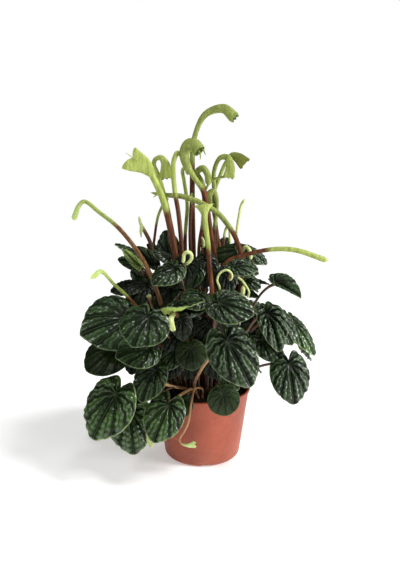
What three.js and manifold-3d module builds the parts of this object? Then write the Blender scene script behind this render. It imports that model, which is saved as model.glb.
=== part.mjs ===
// A potted peperomia: a clump of rippled heart leaves and curling flower spikes in a small nursery pot.
// Millimetres, +Z up. The origin is the middle of the pot's flat base.
import * as THREE from "three";
import { mergeVertices } from "three/addons/utils/BufferGeometryUtils.js";
import Module from "manifold-3d";

const wasm = await Module();
wasm.setup();

// The pot: a 9 cm nursery pot with straight tapered walls and drain slots round the bottom edge.
const POT_RIM_RADIUS = 45;
const POT_BASE_RADIUS = 35;
const POT_HEIGHT = 65;
const POT_WALL = 1.2;
const POT_LIP = 0.8;
const POT_LIP_HEIGHT = 3;
const POT_EDGE_ROUND = 0.5;
const POT_FOOT_ROUND = 4;
const POT_FOOT_STEPS = 4;
const POT_SEGMENTS = 40;
const DRAIN_SLOTS = 6;
const DRAIN_SLOT_WIDTH = 9;
const DRAIN_SLOT_HEIGHT = 3;
const DRAIN_SLOT_MIDDLE = 0.5;
const DRAIN_SLOT_TURN = -Math.PI / 3.3;

// What grows in it. CLEARANCE is the gap left between two pieces that rest on each other.
const CLEARANCE = 0.3;
const SOIL_TOP = 58;
const SOIL_EDGE_DROP = 2;
const SOIL_EDGE_WIDTH = 5;
const CROWN_RADIUS = 28;
const CROWN_HEIGHT = 10;
const CROWN_EDGE_HEIGHT = 1;
const CROWN_STEP = 4;
const CROWN_SEGMENTS = 24;

// Leaf blades and their stalks. The outline's shares are of the blade's length.
const BLADE_THICKNESS = 1.2;
const BLADE_SIDES = 16;
const BLADE_RINGS = [0.5, 1];
const BLADE_CENTRE = 0.24;
const BLADE_REACH = 0.62;
const BLADE_BULGE = 0.08;
const TIP_DRAW = 0.14;
const TIP_SPREAD = 0.2;
const NOTCH_DEPTH = 0.75;
const NOTCH_SPREAD = 0.26;
const PETIOLE_RADIUS = 1.2;
const PETIOLE_SIDES = 5;
const PETIOLE_STEPS = 5;
const PETIOLE_RISE = 0.45;
const PETIOLE_ARRIVAL = 0.25;
const ARRIVAL_OUTWARD = 0.4;
const ARRIVAL_UP = 0.6;
const ARRIVAL_ALONG = 0.2;
const OUTER_RING = 24;
const INNER_RING = 18.5;
const INNER_RING_HEIGHT = 140;

// Flower spikes.
const SPIKE_SIDES = 6;
const SPIKE_STEP = 12;
const SPIKE_LIFT = 12;
const SPIKE_TAPER = 12;
const SPIKE_END = 0.4;
const FAN_HALF_THICKNESS = 1;

const FINISHES = {
  pot: { color: 0xa55546, roughness: 0.55, metalness: 0 },
  soil: { color: 0x241a14, roughness: 0.95, metalness: 0 },
  crown: { color: 0x6b4a36, roughness: 0.8, metalness: 0 },
  leaf: { color: 0x22492a, roughness: 0.3, metalness: 0 },
  spike: { color: 0xaac864, roughness: 0.5, metalness: 0 },
};

// Each leaf: where its stalk joins it, its tip, the way its upper side looks, its width and how far it
// folds; the ring of the crown where its stalk grows and the swing along it, or the root itself; and the
// places a stalk that lies in sight passes.
const LEAVES = [
  // Low leaves in front, hanging over the pot.
  { name: "leaf_low_left", at: [-71, -63, 80], tip: [-90, -77, 46], face: [-0.28, -0.85, 0.45], width: 44 },
  { name: "leaf_low_inner", at: [-62, -46, 58], tip: [-58, -60, 24], face: [-0.1, -0.85, 0.4],
    width: 41, swing: -0.12 },
  { name: "leaf_low_front", at: [-28, -68, 72], tip: [-40, -82, 46], face: [-0.1, -0.8, 0.5],
    width: 33, via: [[-9, -27, 71], [-13.4, -36, 72.8], [-22, -56, 74]] },
  { name: "leaf_low_middle", at: [-39, -56, 98], tip: [-50, -70, 75], face: [-0.3, -0.7, 0.6],
    width: 29, fold: 0.2, swing: 0.06,
    via: [[-13, -24, 69.5], [-21.5, -32, 74.5], [-32.2, -44, 82.5]] },
  { name: "leaf_over_pot", at: [17, -58, 78.5], tip: [20, -62, 58.5], face: [0.05, -0.95, 0.3],
    width: 27, swing: -0.12 },
  { name: "leaf_low_right", at: [73.5, -44, 99.5], tip: [77, -57, 68], face: [0.15, -0.85, 0.4], width: 35 },
  // Middle leaves in front and at the sides.
  { name: "leaf_left_large", at: [-66, -38, 137.5], tip: [-102, -54, 129], face: [-0.3, -0.85, 0.45],
    width: 51, swing: -0.3 },
  { name: "leaf_left_front", at: [-43, -74, 147.5], tip: [-54, -88, 127], face: [-0.15, -0.8, 0.6],
    width: 41, swing: -0.06 },
  { name: "leaf_left_under", at: [-45, -60, 118], tip: [-70, -72, 114.5], face: [-0.1, -0.65, 0.75],
    width: 36, swing: -0.08 },
  { name: "leaf_left_dull", at: [-73, -24, 110], tip: [-104, -38, 90], face: [-0.4, -0.75, 0.5],
    width: 43 },
  { name: "leaf_front_right", at: [19, -72, 128], tip: [38, -86, 94], face: [0.15, -0.85, 0.5],
    width: 39, root: [-3.3, -23.8],
    via: [[-7, -29, 75], [-2, -37, 91], [6.7, -52, 109], [12, -60, 119]] },
  { name: "leaf_centre_right", at: [13, -72, 158], tip: [40, -82, 152], face: [0, -0.65, 0.75],
    width: 32, swing: 0.12 },
  { name: "leaf_centre_folded", at: [-25, -60, 150], tip: [2, -68, 160], face: [-0.3, -0.35, 0.85],
    width: 24 },
  { name: "leaf_right_folded", at: [52, -58, 146.5], tip: [62, -72, 119], face: [0.35, -0.75, 0.5],
    width: 26, fold: 0.35, ring: OUTER_RING },
  { name: "leaf_right_behind", at: [60, -40, 140], tip: [76, -52, 119], face: [0.35, -0.7, 0.6],
    width: 31 },
  { name: "leaf_far_right", at: [79, -25, 131], tip: [97, -38, 105], face: [0.6, -0.6, 0.5], width: 25 },
  { name: "leaf_inner_round", at: [-10, -50, 115.5], tip: [-7, -56, 96.5], face: [0, -0.9, 0.4], width: 26,
    root: [-5.6, -20.5] },
  // Upper leaves in front.
  { name: "leaf_inner_upper", at: [-3, -39, 158], tip: [-15, -50, 150], face: [-0.1, -0.7, 0.7],
    width: 24, swing: -0.1 },
  { name: "leaf_right_edge", at: [26, -44, 184], tip: [46, -50, 182], face: [0.1, -0.5, 0.85],
    width: 22, swing: 0.2 },
  { name: "leaf_upper_front", at: [-23.5, -47, 182], tip: [-40, -60, 170], face: [-0.2, -0.6, 0.8],
    width: 27, ring: 14.5, swing: 0.04 },
  { name: "leaf_top_left", at: [-58, -10, 189], tip: [-76, -20, 200], face: [-0.5, -0.4, 0.75],
    width: 20, swing: -0.25 },
  { name: "leaf_left_narrow", at: [-58, -10, 161], tip: [-81, -20, 159], face: [-0.1, -0.45, 0.9],
    width: 24, ring: OUTER_RING, swing: -0.1 },
  { name: "leaf_upper_right", at: [64, -18, 165], tip: [86.5, -22, 153], face: [0.3, -0.65, 0.7],
    width: 17, fold: 0.95 },
  { name: "leaf_top_right", at: [38, -4, 193], tip: [57, -14, 181], face: [0.35, -0.45, 0.8], width: 24 },
  { name: "leaf_top_wide", at: [19, 44, 181], tip: [-5, 34, 180], face: [-0.1, -0.5, 0.85], width: 34,
    swing: 0.25 },
  { name: "leaf_top_tall", at: [-30, 24, 185], tip: [-36, 30, 209], face: [-0.3, -0.8, 0.3], width: 24,
    swing: 0.15 },
  // Leaves at the back.
  { name: "leaf_back_right_low", at: [66, 34, 92], tip: [86, 48, 60], face: [0.6, 0.4, 0.6], width: 36 },
  { name: "leaf_back_low", at: [28, 66, 84], tip: [36, 86, 54], face: [0.2, 0.8, 0.5], width: 38 },
  { name: "leaf_back_centre_low", at: [-8, 62, 74], tip: [-12, 78, 44], face: [0, 0.85, 0.5], width: 34 },
  { name: "leaf_back_left_low", at: [-42, 60, 88], tip: [-58, 80, 58], face: [-0.3, 0.7, 0.6], width: 38 },
  { name: "leaf_side_left_low", at: [-78, 16, 92], tip: [-104, 24, 66], face: [-0.7, 0.2, 0.7], width: 36 },
  { name: "leaf_side_right", at: [82, 8, 112], tip: [104, 12, 84], face: [0.75, 0.1, 0.65], width: 34 },
  { name: "leaf_back_right", at: [58, 48, 129], tip: [80, 66, 109], face: [0.4, 0.5, 0.75], width: 38 },
  { name: "leaf_back_middle", at: [10, 72, 128], tip: [14, 98, 106], face: [0.1, 0.7, 0.7], width: 40 },
  { name: "leaf_back_left", at: [-52, 50, 134], tip: [-76, 68, 116], face: [-0.4, 0.5, 0.75], width: 38 },
  { name: "leaf_back_upper_right", at: [34, 36, 166], tip: [48, 54, 154], face: [0.3, 0.4, 0.85],
    width: 32, swing: -0.25 },
  { name: "leaf_back_upper", at: [-2, 52, 164], tip: [-4, 76, 150], face: [0, 0.6, 0.8], width: 34 },
  { name: "leaf_back_upper_left", at: [-50, 34, 156], tip: [-72, 48, 146], face: [-0.4, 0.35, 0.85],
    width: 32, swing: -0.25 },
];

// Each flower spike: where it grows on the crown, the places it passes, the radius of its stalk and of
// the spike itself and, where the end spreads into a fan, the fan's half width and where it begins.
const SPIKES = [
  {
    name: "spike_tall",
    root: [-3, 3],
    path: [[-7, 6, 140], [-8, 8, 185], [-9, 16, 255], [-7, 18, 293], [3, 16, 313], [19, 10, 317],
      [27, 6, 310]],
    stalk: 2.4,
    spike: 2.3,
    fan: { width: 5, from: 0.86, thick: 2 },
  },
  {
    name: "spike_hooded",
    root: [7, -3],
    path: [[11, -4, 140], [12, -4, 183], [8, 0, 206], [1, 2, 245], [-7, 0, 257], [-14, -4, 269],
      [-15.5, -6, 278], [-12, -9, 284.5], [-7, -13, 284.5], [-3, -16.5, 279.5]],
    stalk: 2.2,
    spike: 2.6,
    fan: { width: 5.2, from: 0.8, thick: 3.4 },
  },
  {
    name: "spike_fan_left",
    root: [-9, -9],
    path: [[-17, -16, 140], [-23, -20, 188], [-31, -18, 229], [-38, -18, 249], [-47, -20, 265],
      [-58, -24, 273]],
    stalk: 3,
    spike: 2.8,
    fan: { width: 10.5, from: 0.86 },
  },
  {
    name: "spike_hook_behind_fan",
    root: [-13, 1],
    path: [[-20, 0, 150], [-25, 0, 190], [-30, 3, 225], [-33, 4, 238], [-36, 5, 249], [-39.5, 5, 260],
      [-43, 5, 268.5], [-41.5, 4, 273], [-37, 3, 274.5], [-33, 1, 270], [-31.5, -1, 259]],
    stalk: 1.8,
    spike: 2,
    fan: { width: 5.5, from: 0.92, thick: 1.6 },
  },
  {
    name: "spike_slender",
    root: [-11, -4],
    path: [[-17, -9, 140], [-18, -12, 193], [-21, -12, 228], [-24, -10, 246], [-25, -6, 270],
      [-22, -3, 278], [-20, 3, 277]],
    stalk: 1.9,
    spike: 2,
  },
  {
    name: "spike_t_top",
    root: [2, -12],
    path: [[6, -30, 130], [8, -38, 161], [6, -36, 183], [5, -34, 199], [3, -32, 215], [1, -30, 234.5]],
    stalk: 2,
    spike: 2.2,
    fan: { width: 8, from: 0.95, thick: 2 },
  },
  {
    name: "spike_long_arc",
    root: [13, -7],
    path: [[29, -20, 140], [35, -20, 182], [30, -15, 203], [24, -12, 214], [14, -8, 226], [3, -6, 233],
      [-8, -4, 238], [-19, -3, 241], [-33, -4, 242], [-45, -4, 244]],
    stalk: 1.9,
    spike: 2.4,
  },
  {
    name: "spike_double_hook",
    root: [2, 12],
    path: [[3, 16, 140], [3, 16, 200], [2, 15, 242], [-1, 14, 254], [-5, 12, 261.5], [0.5, 9, 265.5],
      [5, 7, 259], [5, 6, 251]],
    stalk: 1.8,
    spike: 2.4,
  },
  {
    name: "spike_big_hook",
    root: [8, 17],
    path: [[12, 22, 140], [13, 21, 200], [11, 14, 244], [11, 12, 264], [16, 9, 274.5],
      [22.5, 5, 274.5], [24.8, 1, 266.5], [23.5, -1, 258.5]],
    stalk: 1.9,
    spike: 2,
    fan: { width: 4.6, from: 0.9 },
  },
  {
    name: "spike_leafy_end",
    root: [14, 14],
    path: [[18, 20, 140], [19.5, 22, 178], [15.5, 27.5, 198], [12, 28, 220], [9.5, 27, 237], [12.2, 26, 248],
      [16.6, 26, 259], [21.5, 26, 270.5], [27, 22, 277], [33, 19, 275], [38, 17, 270.5]],
    stalk: 1.8,
    spike: 1.7,
    fan: { width: 6, from: 0.92 },
  },
  {
    name: "spike_small_hook",
    root: [9, 6],
    path: [[14, 7, 140], [14, 9, 180], [11, 12, 206], [13, 12, 227], [13, 11, 238], [10, 9.5, 245],
      [6, 8, 242], [5, 8, 236]],
    stalk: 1.7,
    spike: 1.8,
    fan: { width: 3.2, from: 0.9 },
  },
  {
    name: "spike_left_hook",
    root: [-5, 11],
    path: [[-13, 20, 140], [-16, 24, 200], [-14, 25, 233], [-17, 24, 256], [-18, 21, 264],
      [-15, 17, 266], [-13, 15, 260]],
    stalk: 1.7,
    spike: 1.7,
  },
  {
    name: "spike_back_left",
    root: [-15, 7],
    path: [[-32, 12, 140], [-45, 16, 191], [-44, 16, 204], [-40, 14, 224], [-33, 12, 238]],
    stalk: 1.3,
    spike: 1.2,
  },
  {
    name: "spike_left_drop",
    root: [-18, 5],
    path: [[-38, 6, 150], [-47, 6, 198], [-52.5, 5, 210], [-55.5, 4, 216], [-57, 4, 223]],
    stalk: 1.3,
    spike: 1.7,
  },
  {
    name: "spike_long_left",
    root: [-13, -14],
    path: [[-26, -34, 112], [-35, -44, 154], [-44, -46, 180], [-53, -44, 196], [-70, -38, 216],
      [-86, -32, 228], [-99, -29, 237], [-103, -30, 234], [-107, -32, 224]],
    stalk: 2,
    spike: 1.6,
    fan: { width: 2.4, from: 0.93 },
  },
  {
    name: "spike_small_left",
    root: [-17, -10],
    path: [[-42, -20, 120], [-54, -20, 140], [-65, -27, 155.5], [-74.5, -42, 169.5], [-83, -50, 181],
      [-89, -54, 176]],
    stalk: 1.5,
    spike: 1.4,
    fan: { width: 2.8, from: 0.9 },
  },
  {
    name: "spike_long_right",
    root: [9, -12],
    path: [[13, -26, 130], [12, -27, 165], [21, -28, 186], [33, -30, 191], [56, -34, 197],
      [77, -36, 197], [105, -36, 188]],
    stalk: 1.5,
    spike: 2.3,
  },
  {
    name: "spike_right_thin",
    root: [18, 4],
    path: [[27, 12, 140], [31, 14, 200], [34, 14, 223], [36, 14, 233], [39, 12, 238]],
    stalk: 1.3,
    spike: 1.3,
  },
  {
    name: "young_stem_trailing",
    root: [0, -24],
    path: [[-6, -36, 75], [-9, -50, 70], [-12, -51, 50], [-16, -50, 41], [-20, -49, 33],
      [-17.5, -50.5, 30], [-12, -51, 29], [-7.5, -51, 29.5]],
    stalk: 0.9,
    spike: 0.9,
    fan: { width: 3.4, from: 0.9 },
  },
];

const vector = (values) => new THREE.Vector3(...values);
const mix = (a, b, share) => a + (b - a) * share;

/** The middle of the pot's rounded foot, as a profile point. */
const FOOT_CENTRE = [POT_BASE_RADIUS - POT_FOOT_ROUND + POT_EDGE_ROUND, POT_FOOT_ROUND];

/** A closed mesh through rings of points, shut by a fan at each end, with its faces turned outwards. */
function skin(rings, startPoint, endPoint) {
  const sides = rings[0].length;
  const points = [startPoint, ...rings.flat(), endPoint];
  const last = points.length - 1;
  const faces = [];
  const at = (ring, side) => 1 + ring * sides + (side % sides);
  for (let side = 0; side < sides; side += 1) {
    faces.push([0, at(0, side + 1), at(0, side)]);
    faces.push([last, at(rings.length - 1, side), at(rings.length - 1, side + 1)]);
    for (let ring = 0; ring < rings.length - 1; ring += 1) {
      faces.push([at(ring, side), at(ring, side + 1), at(ring + 1, side)]);
      faces.push([at(ring, side + 1), at(ring + 1, side + 1), at(ring + 1, side)]);
    }
  }
  const cross = new THREE.Vector3();
  let volume = 0;
  for (const [a, b, c] of faces) {
    volume += cross.crossVectors(points[b], points[c]).dot(points[a]);
  }
  const outward = volume > 0 ? faces : faces.map(([a, b, c]) => [a, c, b]);
  const geometry = new THREE.BufferGeometry().setFromPoints(points);
  geometry.setIndex(outward.flat());
  return geometry;
}

/** The geometry as a solid that can be joined and cut. */
function toSolid(geometry) {
  const bare = geometry.clone();
  bare.deleteAttribute("normal");
  bare.deleteAttribute("uv");
  const merged = mergeVertices(bare);
  const corners = merged.index.array;
  const kept = [];
  for (let i = 0; i < corners.length; i += 3) {
    const [a, b, c] = corners.slice(i, i + 3);
    if (a !== b && b !== c && c !== a) {
      kept.push(a, b, c);
    }
  }
  const mesh = new wasm.Mesh({
    numProp: 3,
    vertProperties: new Float32Array(merged.attributes.position.array),
    triVerts: new Uint32Array(kept),
  });
  return new wasm.Manifold(mesh);
}

/** The solid's surface as a geometry. */
function toGeometry(solid) {
  const mesh = solid.getMesh();
  const geometry = new THREE.BufferGeometry();
  geometry.setAttribute("position", new THREE.BufferAttribute(mesh.vertProperties, 3));
  geometry.setIndex(new THREE.BufferAttribute(mesh.triVerts, 1));
  geometry.computeVertexNormals();
  return geometry;
}

/** A body turned from a profile of [radius, height] points, standing along +Z. */
function turned(profile, segments) {
  const points = profile.map(([radius, height]) => new THREE.Vector2(radius, height));
  return new THREE.LatheGeometry(points, segments).rotateX(Math.PI / 2);
}

/** A quarter round from the angle `from` to the angle `to` about a centre, as profile points. */
function arc(centre, radius, from, to, steps) {
  const points = [];
  for (let i = 0; i <= steps; i += 1) {
    const angle = mix(from, to, i / steps);
    points.push([centre[0] + radius * Math.cos(angle), centre[1] + radius * Math.sin(angle)]);
  }
  return points;
}

/** The radius of the pot's outer wall at a height. */
function potRadius(height) {
  return mix(POT_BASE_RADIUS, POT_RIM_RADIUS - POT_LIP, height / POT_HEIGHT);
}

function makePot() {
  const lipStart = POT_HEIGHT - POT_LIP_HEIGHT;
  const wallTop = potRadius(POT_HEIGHT) - POT_WALL;
  const profile = [
    [0, 0],
    ...arc(FOOT_CENTRE, POT_FOOT_ROUND, -Math.PI / 2, 0, POT_FOOT_STEPS),
    [potRadius(lipStart), lipStart],
    [POT_RIM_RADIUS, lipStart + POT_LIP],
    [POT_RIM_RADIUS, POT_HEIGHT - POT_EDGE_ROUND],
    [POT_RIM_RADIUS - POT_EDGE_ROUND, POT_HEIGHT],
    [wallTop, POT_HEIGHT],
    ...arc(FOOT_CENTRE, POT_FOOT_ROUND - POT_WALL, 0, -Math.PI / 2, POT_FOOT_STEPS),
    [0, POT_WALL],
  ];
  let pot = toSolid(turned(profile, POT_SEGMENTS));
  for (let i = 0; i < DRAIN_SLOTS; i += 1) {
    const slot = new THREE.BoxGeometry(2 * POT_FOOT_ROUND, DRAIN_SLOT_WIDTH, DRAIN_SLOT_HEIGHT);
    slot.translate(POT_BASE_RADIUS, 0, DRAIN_SLOT_MIDDLE);
    slot.rotateZ(((i + 0.5) * 2 * Math.PI) / DRAIN_SLOTS + DRAIN_SLOT_TURN);
    pot = pot.subtract(toSolid(slot));
  }
  return toGeometry(pot);
}

function makeSoil() {
  const inset = POT_WALL + CLEARANCE;
  const edge = potRadius(SOIL_TOP) - inset;
  const profile = [
    [0, inset],
    ...arc(FOOT_CENTRE, POT_FOOT_ROUND - inset, -Math.PI / 2, 0, POT_FOOT_STEPS),
    [edge, SOIL_TOP - SOIL_EDGE_DROP],
    [edge - SOIL_EDGE_WIDTH, SOIL_TOP],
    [0, SOIL_TOP],
  ];
  return toGeometry(toSolid(turned(profile, POT_SEGMENTS)));
}

/** The height of the crown's domed top at a distance from the pot's axis. */
function crownTop(distance) {
  const share = Math.min(distance / CROWN_RADIUS, 1);
  return SOIL_TOP + CLEARANCE + mix(CROWN_HEIGHT, CROWN_EDGE_HEIGHT, share ** 2);
}

/** The way the crown's surface looks at a point on it. */
function crownNormal(x, y) {
  const slope = (2 * (CROWN_HEIGHT - CROWN_EDGE_HEIGHT)) / CROWN_RADIUS ** 2;
  return new THREE.Vector3(slope * x, slope * y, 1).normalize();
}

function makeCrown() {
  const profile = [[0, SOIL_TOP + CLEARANCE], [CROWN_RADIUS, SOIL_TOP + CLEARANCE]];
  for (let distance = CROWN_RADIUS; distance > 0; distance -= CROWN_STEP) {
    profile.push([distance, crownTop(distance)]);
  }
  profile.push([0, crownTop(0)]);
  return toGeometry(toSolid(turned(profile, CROWN_SEGMENTS)));
}

/** Where a stalk leaves the crown, a clearance above its surface. */
function rootOnCrown(x, y) {
  const onSurface = new THREE.Vector3(x, y, crownTop(Math.hypot(x, y)));
  return onSurface.addScaledVector(crownNormal(x, y), CLEARANCE);
}

/**
 * Rings along a curve. Each ring is an oval with the half width and half thickness that `shape` gives for
 * the share of the length, turned so that its flat side looks as nearly as it can the way `flat` points.
 */
function sweep(curve, steps, sides, shape, flat) {
  const rings = [];
  for (let step = 0; step <= steps; step += 1) {
    const share = step / steps;
    const centre = curve.getPointAt(share);
    const along = curve.getTangentAt(share);
    const out = flat.clone().addScaledVector(along, -flat.dot(along)).normalize();
    const across = new THREE.Vector3().crossVectors(along, out);
    const [halfWidth, halfThick] = shape(share);
    const ring = [];
    for (let side = 0; side < sides; side += 1) {
      const angle = (side / sides) * 2 * Math.PI;
      const point = centre.clone().addScaledVector(across, halfWidth * Math.cos(angle));
      ring.push(point.addScaledVector(out, halfThick * Math.sin(angle)));
    }
    rings.push(ring);
  }
  return skin(rings, curve.getPointAt(0), curve.getPointAt(1));
}

/**
 * How far the blade's edge is from where its stalk joins, at an angle from the midrib: an oval set
 * forward of the joint, drawn out to a point at the tip and notched behind.
 */
function bladeEdge(angle, length, width) {
  const centre = BLADE_CENTRE * length;
  const reach = BLADE_REACH * length;
  const half = width / 2;
  const cos = Math.cos(angle);
  const sin = Math.sin(angle);
  const spread = (cos / reach) ** 2 + (sin / half) ** 2;
  const shift = (centre * cos) / reach ** 2;
  const oval = (shift + Math.sqrt(shift ** 2 + spread * (1 - (centre / reach) ** 2))) / spread;
  const turn = Math.abs(angle);
  const tip = TIP_DRAW * length * Math.exp(-turn / TIP_SPREAD);
  const notch = 1 - NOTCH_DEPTH * Math.exp(-(((Math.PI - turn) / NOTCH_SPREAD) ** 2));
  return oval * notch + tip;
}

/** The stalk's middle line: off the crown along its normal and into the blade from below. */
function petioleCurve({ at, ring = null, swing = 0, root = null, via = null }, joint, midrib, up) {
  const azimuth = Math.atan2(at[1], at[0]) + swing;
  const distance = ring ?? (at[2] < INNER_RING_HEIGHT ? OUTER_RING : INNER_RING);
  const foot = rootOnCrown(...(root ?? [distance * Math.cos(azimuth), distance * Math.sin(azimuth)]));
  const grow = crownNormal(foot.x, foot.y);
  if (via) {
    return new THREE.CatmullRomCurve3([foot, ...via.map(vector), joint]);
  }
  const arrive = new THREE.Vector3(joint.x - foot.x, joint.y - foot.y, 0).normalize();
  arrive.multiplyScalar(ARRIVAL_OUTWARD);
  arrive.addScaledVector(up, ARRIVAL_UP).addScaledVector(midrib, ARRIVAL_ALONG);
  const span = joint.distanceTo(foot);
  return new THREE.CubicBezierCurve3(
    foot,
    foot.clone().addScaledVector(grow, PETIOLE_RISE * span),
    joint.clone().addScaledVector(arrive.normalize(), -PETIOLE_ARRIVAL * span),
    joint,
  );
}

/** A heart-shaped blade, bulging between its joint and its edge, and its stalk from the crown. */
function makeLeaf(leaf) {
  const { at, tip, face, width, fold = 0 } = leaf;
  const joint = vector(at);
  const length = vector(tip).distanceTo(joint);
  const midrib = vector(tip).sub(joint).normalize();
  const up = vector(face).addScaledVector(midrib, -vector(face).dot(midrib)).normalize();
  const side = new THREE.Vector3().crossVectors(up, midrib);

  const place = (share, angle, height) => {
    const reach = share * bladeEdge(angle, length, width);
    const sideways = reach * Math.sin(angle);
    const rise = BLADE_BULGE * length * 4 * share * (1 - share) + fold * Math.abs(sideways) + height;
    return joint.clone()
      .addScaledVector(midrib, reach * Math.cos(angle))
      .addScaledVector(side, sideways)
      .addScaledVector(up, rise);
  };
  const bladeRing = (share, height) => {
    const points = [];
    for (let i = 0; i < BLADE_SIDES; i += 1) {
      const angle = ((i + 0.5) / BLADE_SIDES) * 2 * Math.PI - Math.PI;
      points.push(place(share, angle, height));
    }
    return points;
  };
  const half = BLADE_THICKNESS / 2;
  const rings = [
    ...BLADE_RINGS.map((share) => bladeRing(share, half)),
    ...BLADE_RINGS.toReversed().map((share) => bladeRing(share, -half)),
  ];
  const blade = toSolid(skin(rings, place(0, 0, half), place(0, 0, -half)));

  const curve = petioleCurve(leaf, joint, midrib, up);
  const steps = PETIOLE_STEPS + (leaf.via ?? []).length;
  const flat = new THREE.Vector3(-joint.y, joint.x, 0).normalize();
  const petiole = sweep(curve, steps, PETIOLE_SIDES, () => [PETIOLE_RADIUS, PETIOLE_RADIUS], flat);
  return toGeometry(blade.add(toSolid(petiole)));
}

/** A fleshy spike on its stalk, with a blunt point or a fanned end. */
function makeSpike({ root, path, stalk, spike, fan = null }) {
  const start = rootOnCrown(...root);
  const lift = start.clone().addScaledVector(crownNormal(...root), SPIKE_LIFT);
  const curve = new THREE.CatmullRomCurve3([start, lift, ...path.map(vector)]);
  const steps = Math.round(curve.getLength() / SPIKE_STEP);
  const shape = (share) => {
    const radius = mix(stalk, spike, share);
    if (fan && share > fan.from) {
      const open = (share - fan.from) / (1 - fan.from);
      return [mix(radius, fan.width, open), mix(radius, fan.thick ?? FAN_HALF_THICKNESS, open)];
    }
    const tip = fan ? 1 : Math.min(1, (1 - share) * SPIKE_TAPER + SPIKE_END);
    return [radius * tip, radius * tip];
  };
  return toGeometry(toSolid(sweep(curve, steps, SPIKE_SIDES, shape, new THREE.Vector3(0, -1, 0))));
}

const plant = new THREE.Group();

/** Adds one named piece with its own finish. */
function addPiece(name, geometry, finish) {
  const mesh = new THREE.Mesh(geometry, new THREE.MeshStandardMaterial(FINISHES[finish]));
  mesh.name = name;
  plant.add(mesh);
}

addPiece("pot", makePot(), "pot");
addPiece("soil", makeSoil(), "soil");
addPiece("crown", makeCrown(), "crown");
for (const leaf of LEAVES) {
  addPiece(leaf.name, makeLeaf(leaf), "leaf");
}
for (const spike of SPIKES) {
  addPiece(spike.name, makeSpike(spike), "spike");
}

export default plant;
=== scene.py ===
# A potted peperomia: rippled heart leaves and curling flower spikes on one crown, in a small nursery pot.
# The plan of the plant is written in millimetres, +Z up, from the middle of the pot's flat base.
from math import pi, radians, tau

import bpy
import numpy as np
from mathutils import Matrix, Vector


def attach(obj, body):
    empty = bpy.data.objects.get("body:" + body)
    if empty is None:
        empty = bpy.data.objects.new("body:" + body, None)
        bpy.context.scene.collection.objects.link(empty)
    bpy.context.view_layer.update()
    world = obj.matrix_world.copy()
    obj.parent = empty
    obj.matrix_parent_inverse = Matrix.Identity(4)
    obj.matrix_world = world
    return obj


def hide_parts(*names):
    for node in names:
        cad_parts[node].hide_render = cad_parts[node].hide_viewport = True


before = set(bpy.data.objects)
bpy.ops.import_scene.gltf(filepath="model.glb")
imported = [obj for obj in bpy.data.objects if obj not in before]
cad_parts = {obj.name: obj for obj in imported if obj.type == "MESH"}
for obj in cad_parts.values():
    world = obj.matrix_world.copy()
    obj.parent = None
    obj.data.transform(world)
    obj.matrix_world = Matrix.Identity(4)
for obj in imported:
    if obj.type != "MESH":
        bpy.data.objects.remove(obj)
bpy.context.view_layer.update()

# The pot ---------------------------------------------------------------------------------------------------
# A 9 cm nursery pot, moulded in one shot from terracotta-coloured polypropylene: straight tapered wall, thin
# rolled lip, rounded foot with six drain slots. Matte, faintly mottled, scuffed where it is handled.
MM = 0.001
POT_RIM_RADIUS = 45.0
POT_LIP = 0.8
POT_LIP_HEIGHT = 3.0
LIP_ROUND = 0.9
INNER_LIP_ROUND = 0.5
POT_BASE_RADIUS = 35.0
POT_HEIGHT = 65.0
POT_WALL = 1.2
FOOT_ROUND = 4.0
FOOT_TAPER = 0.5
FOOT_CENTRE = (POT_BASE_RADIUS - FOOT_ROUND + FOOT_TAPER, FOOT_ROUND)
POT_SIDES = 180
DRAIN_SLOTS = 6
SLOT_TURN = -pi / 3.3
SLOT_HALF_WIDTH = 4.5
SLOT_HALF_HEIGHT = 1.5
SLOT_MIDDLE = 0.5
SLOT_SIDES = 32
SHARP_EDGE = radians(40)


def shade(red, green, blue):
    """A screen colour from 0 to 255 as linear light: ((c + 0.055) / 1.055) to the power 2.4."""
    screen = np.array((red, green, blue)) / 255
    linear = np.where(screen <= 0.04045, screen / 12.92, ((screen + 0.055) / 1.055) ** 2.4)
    return (*map(float, linear), 1.0)


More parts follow.
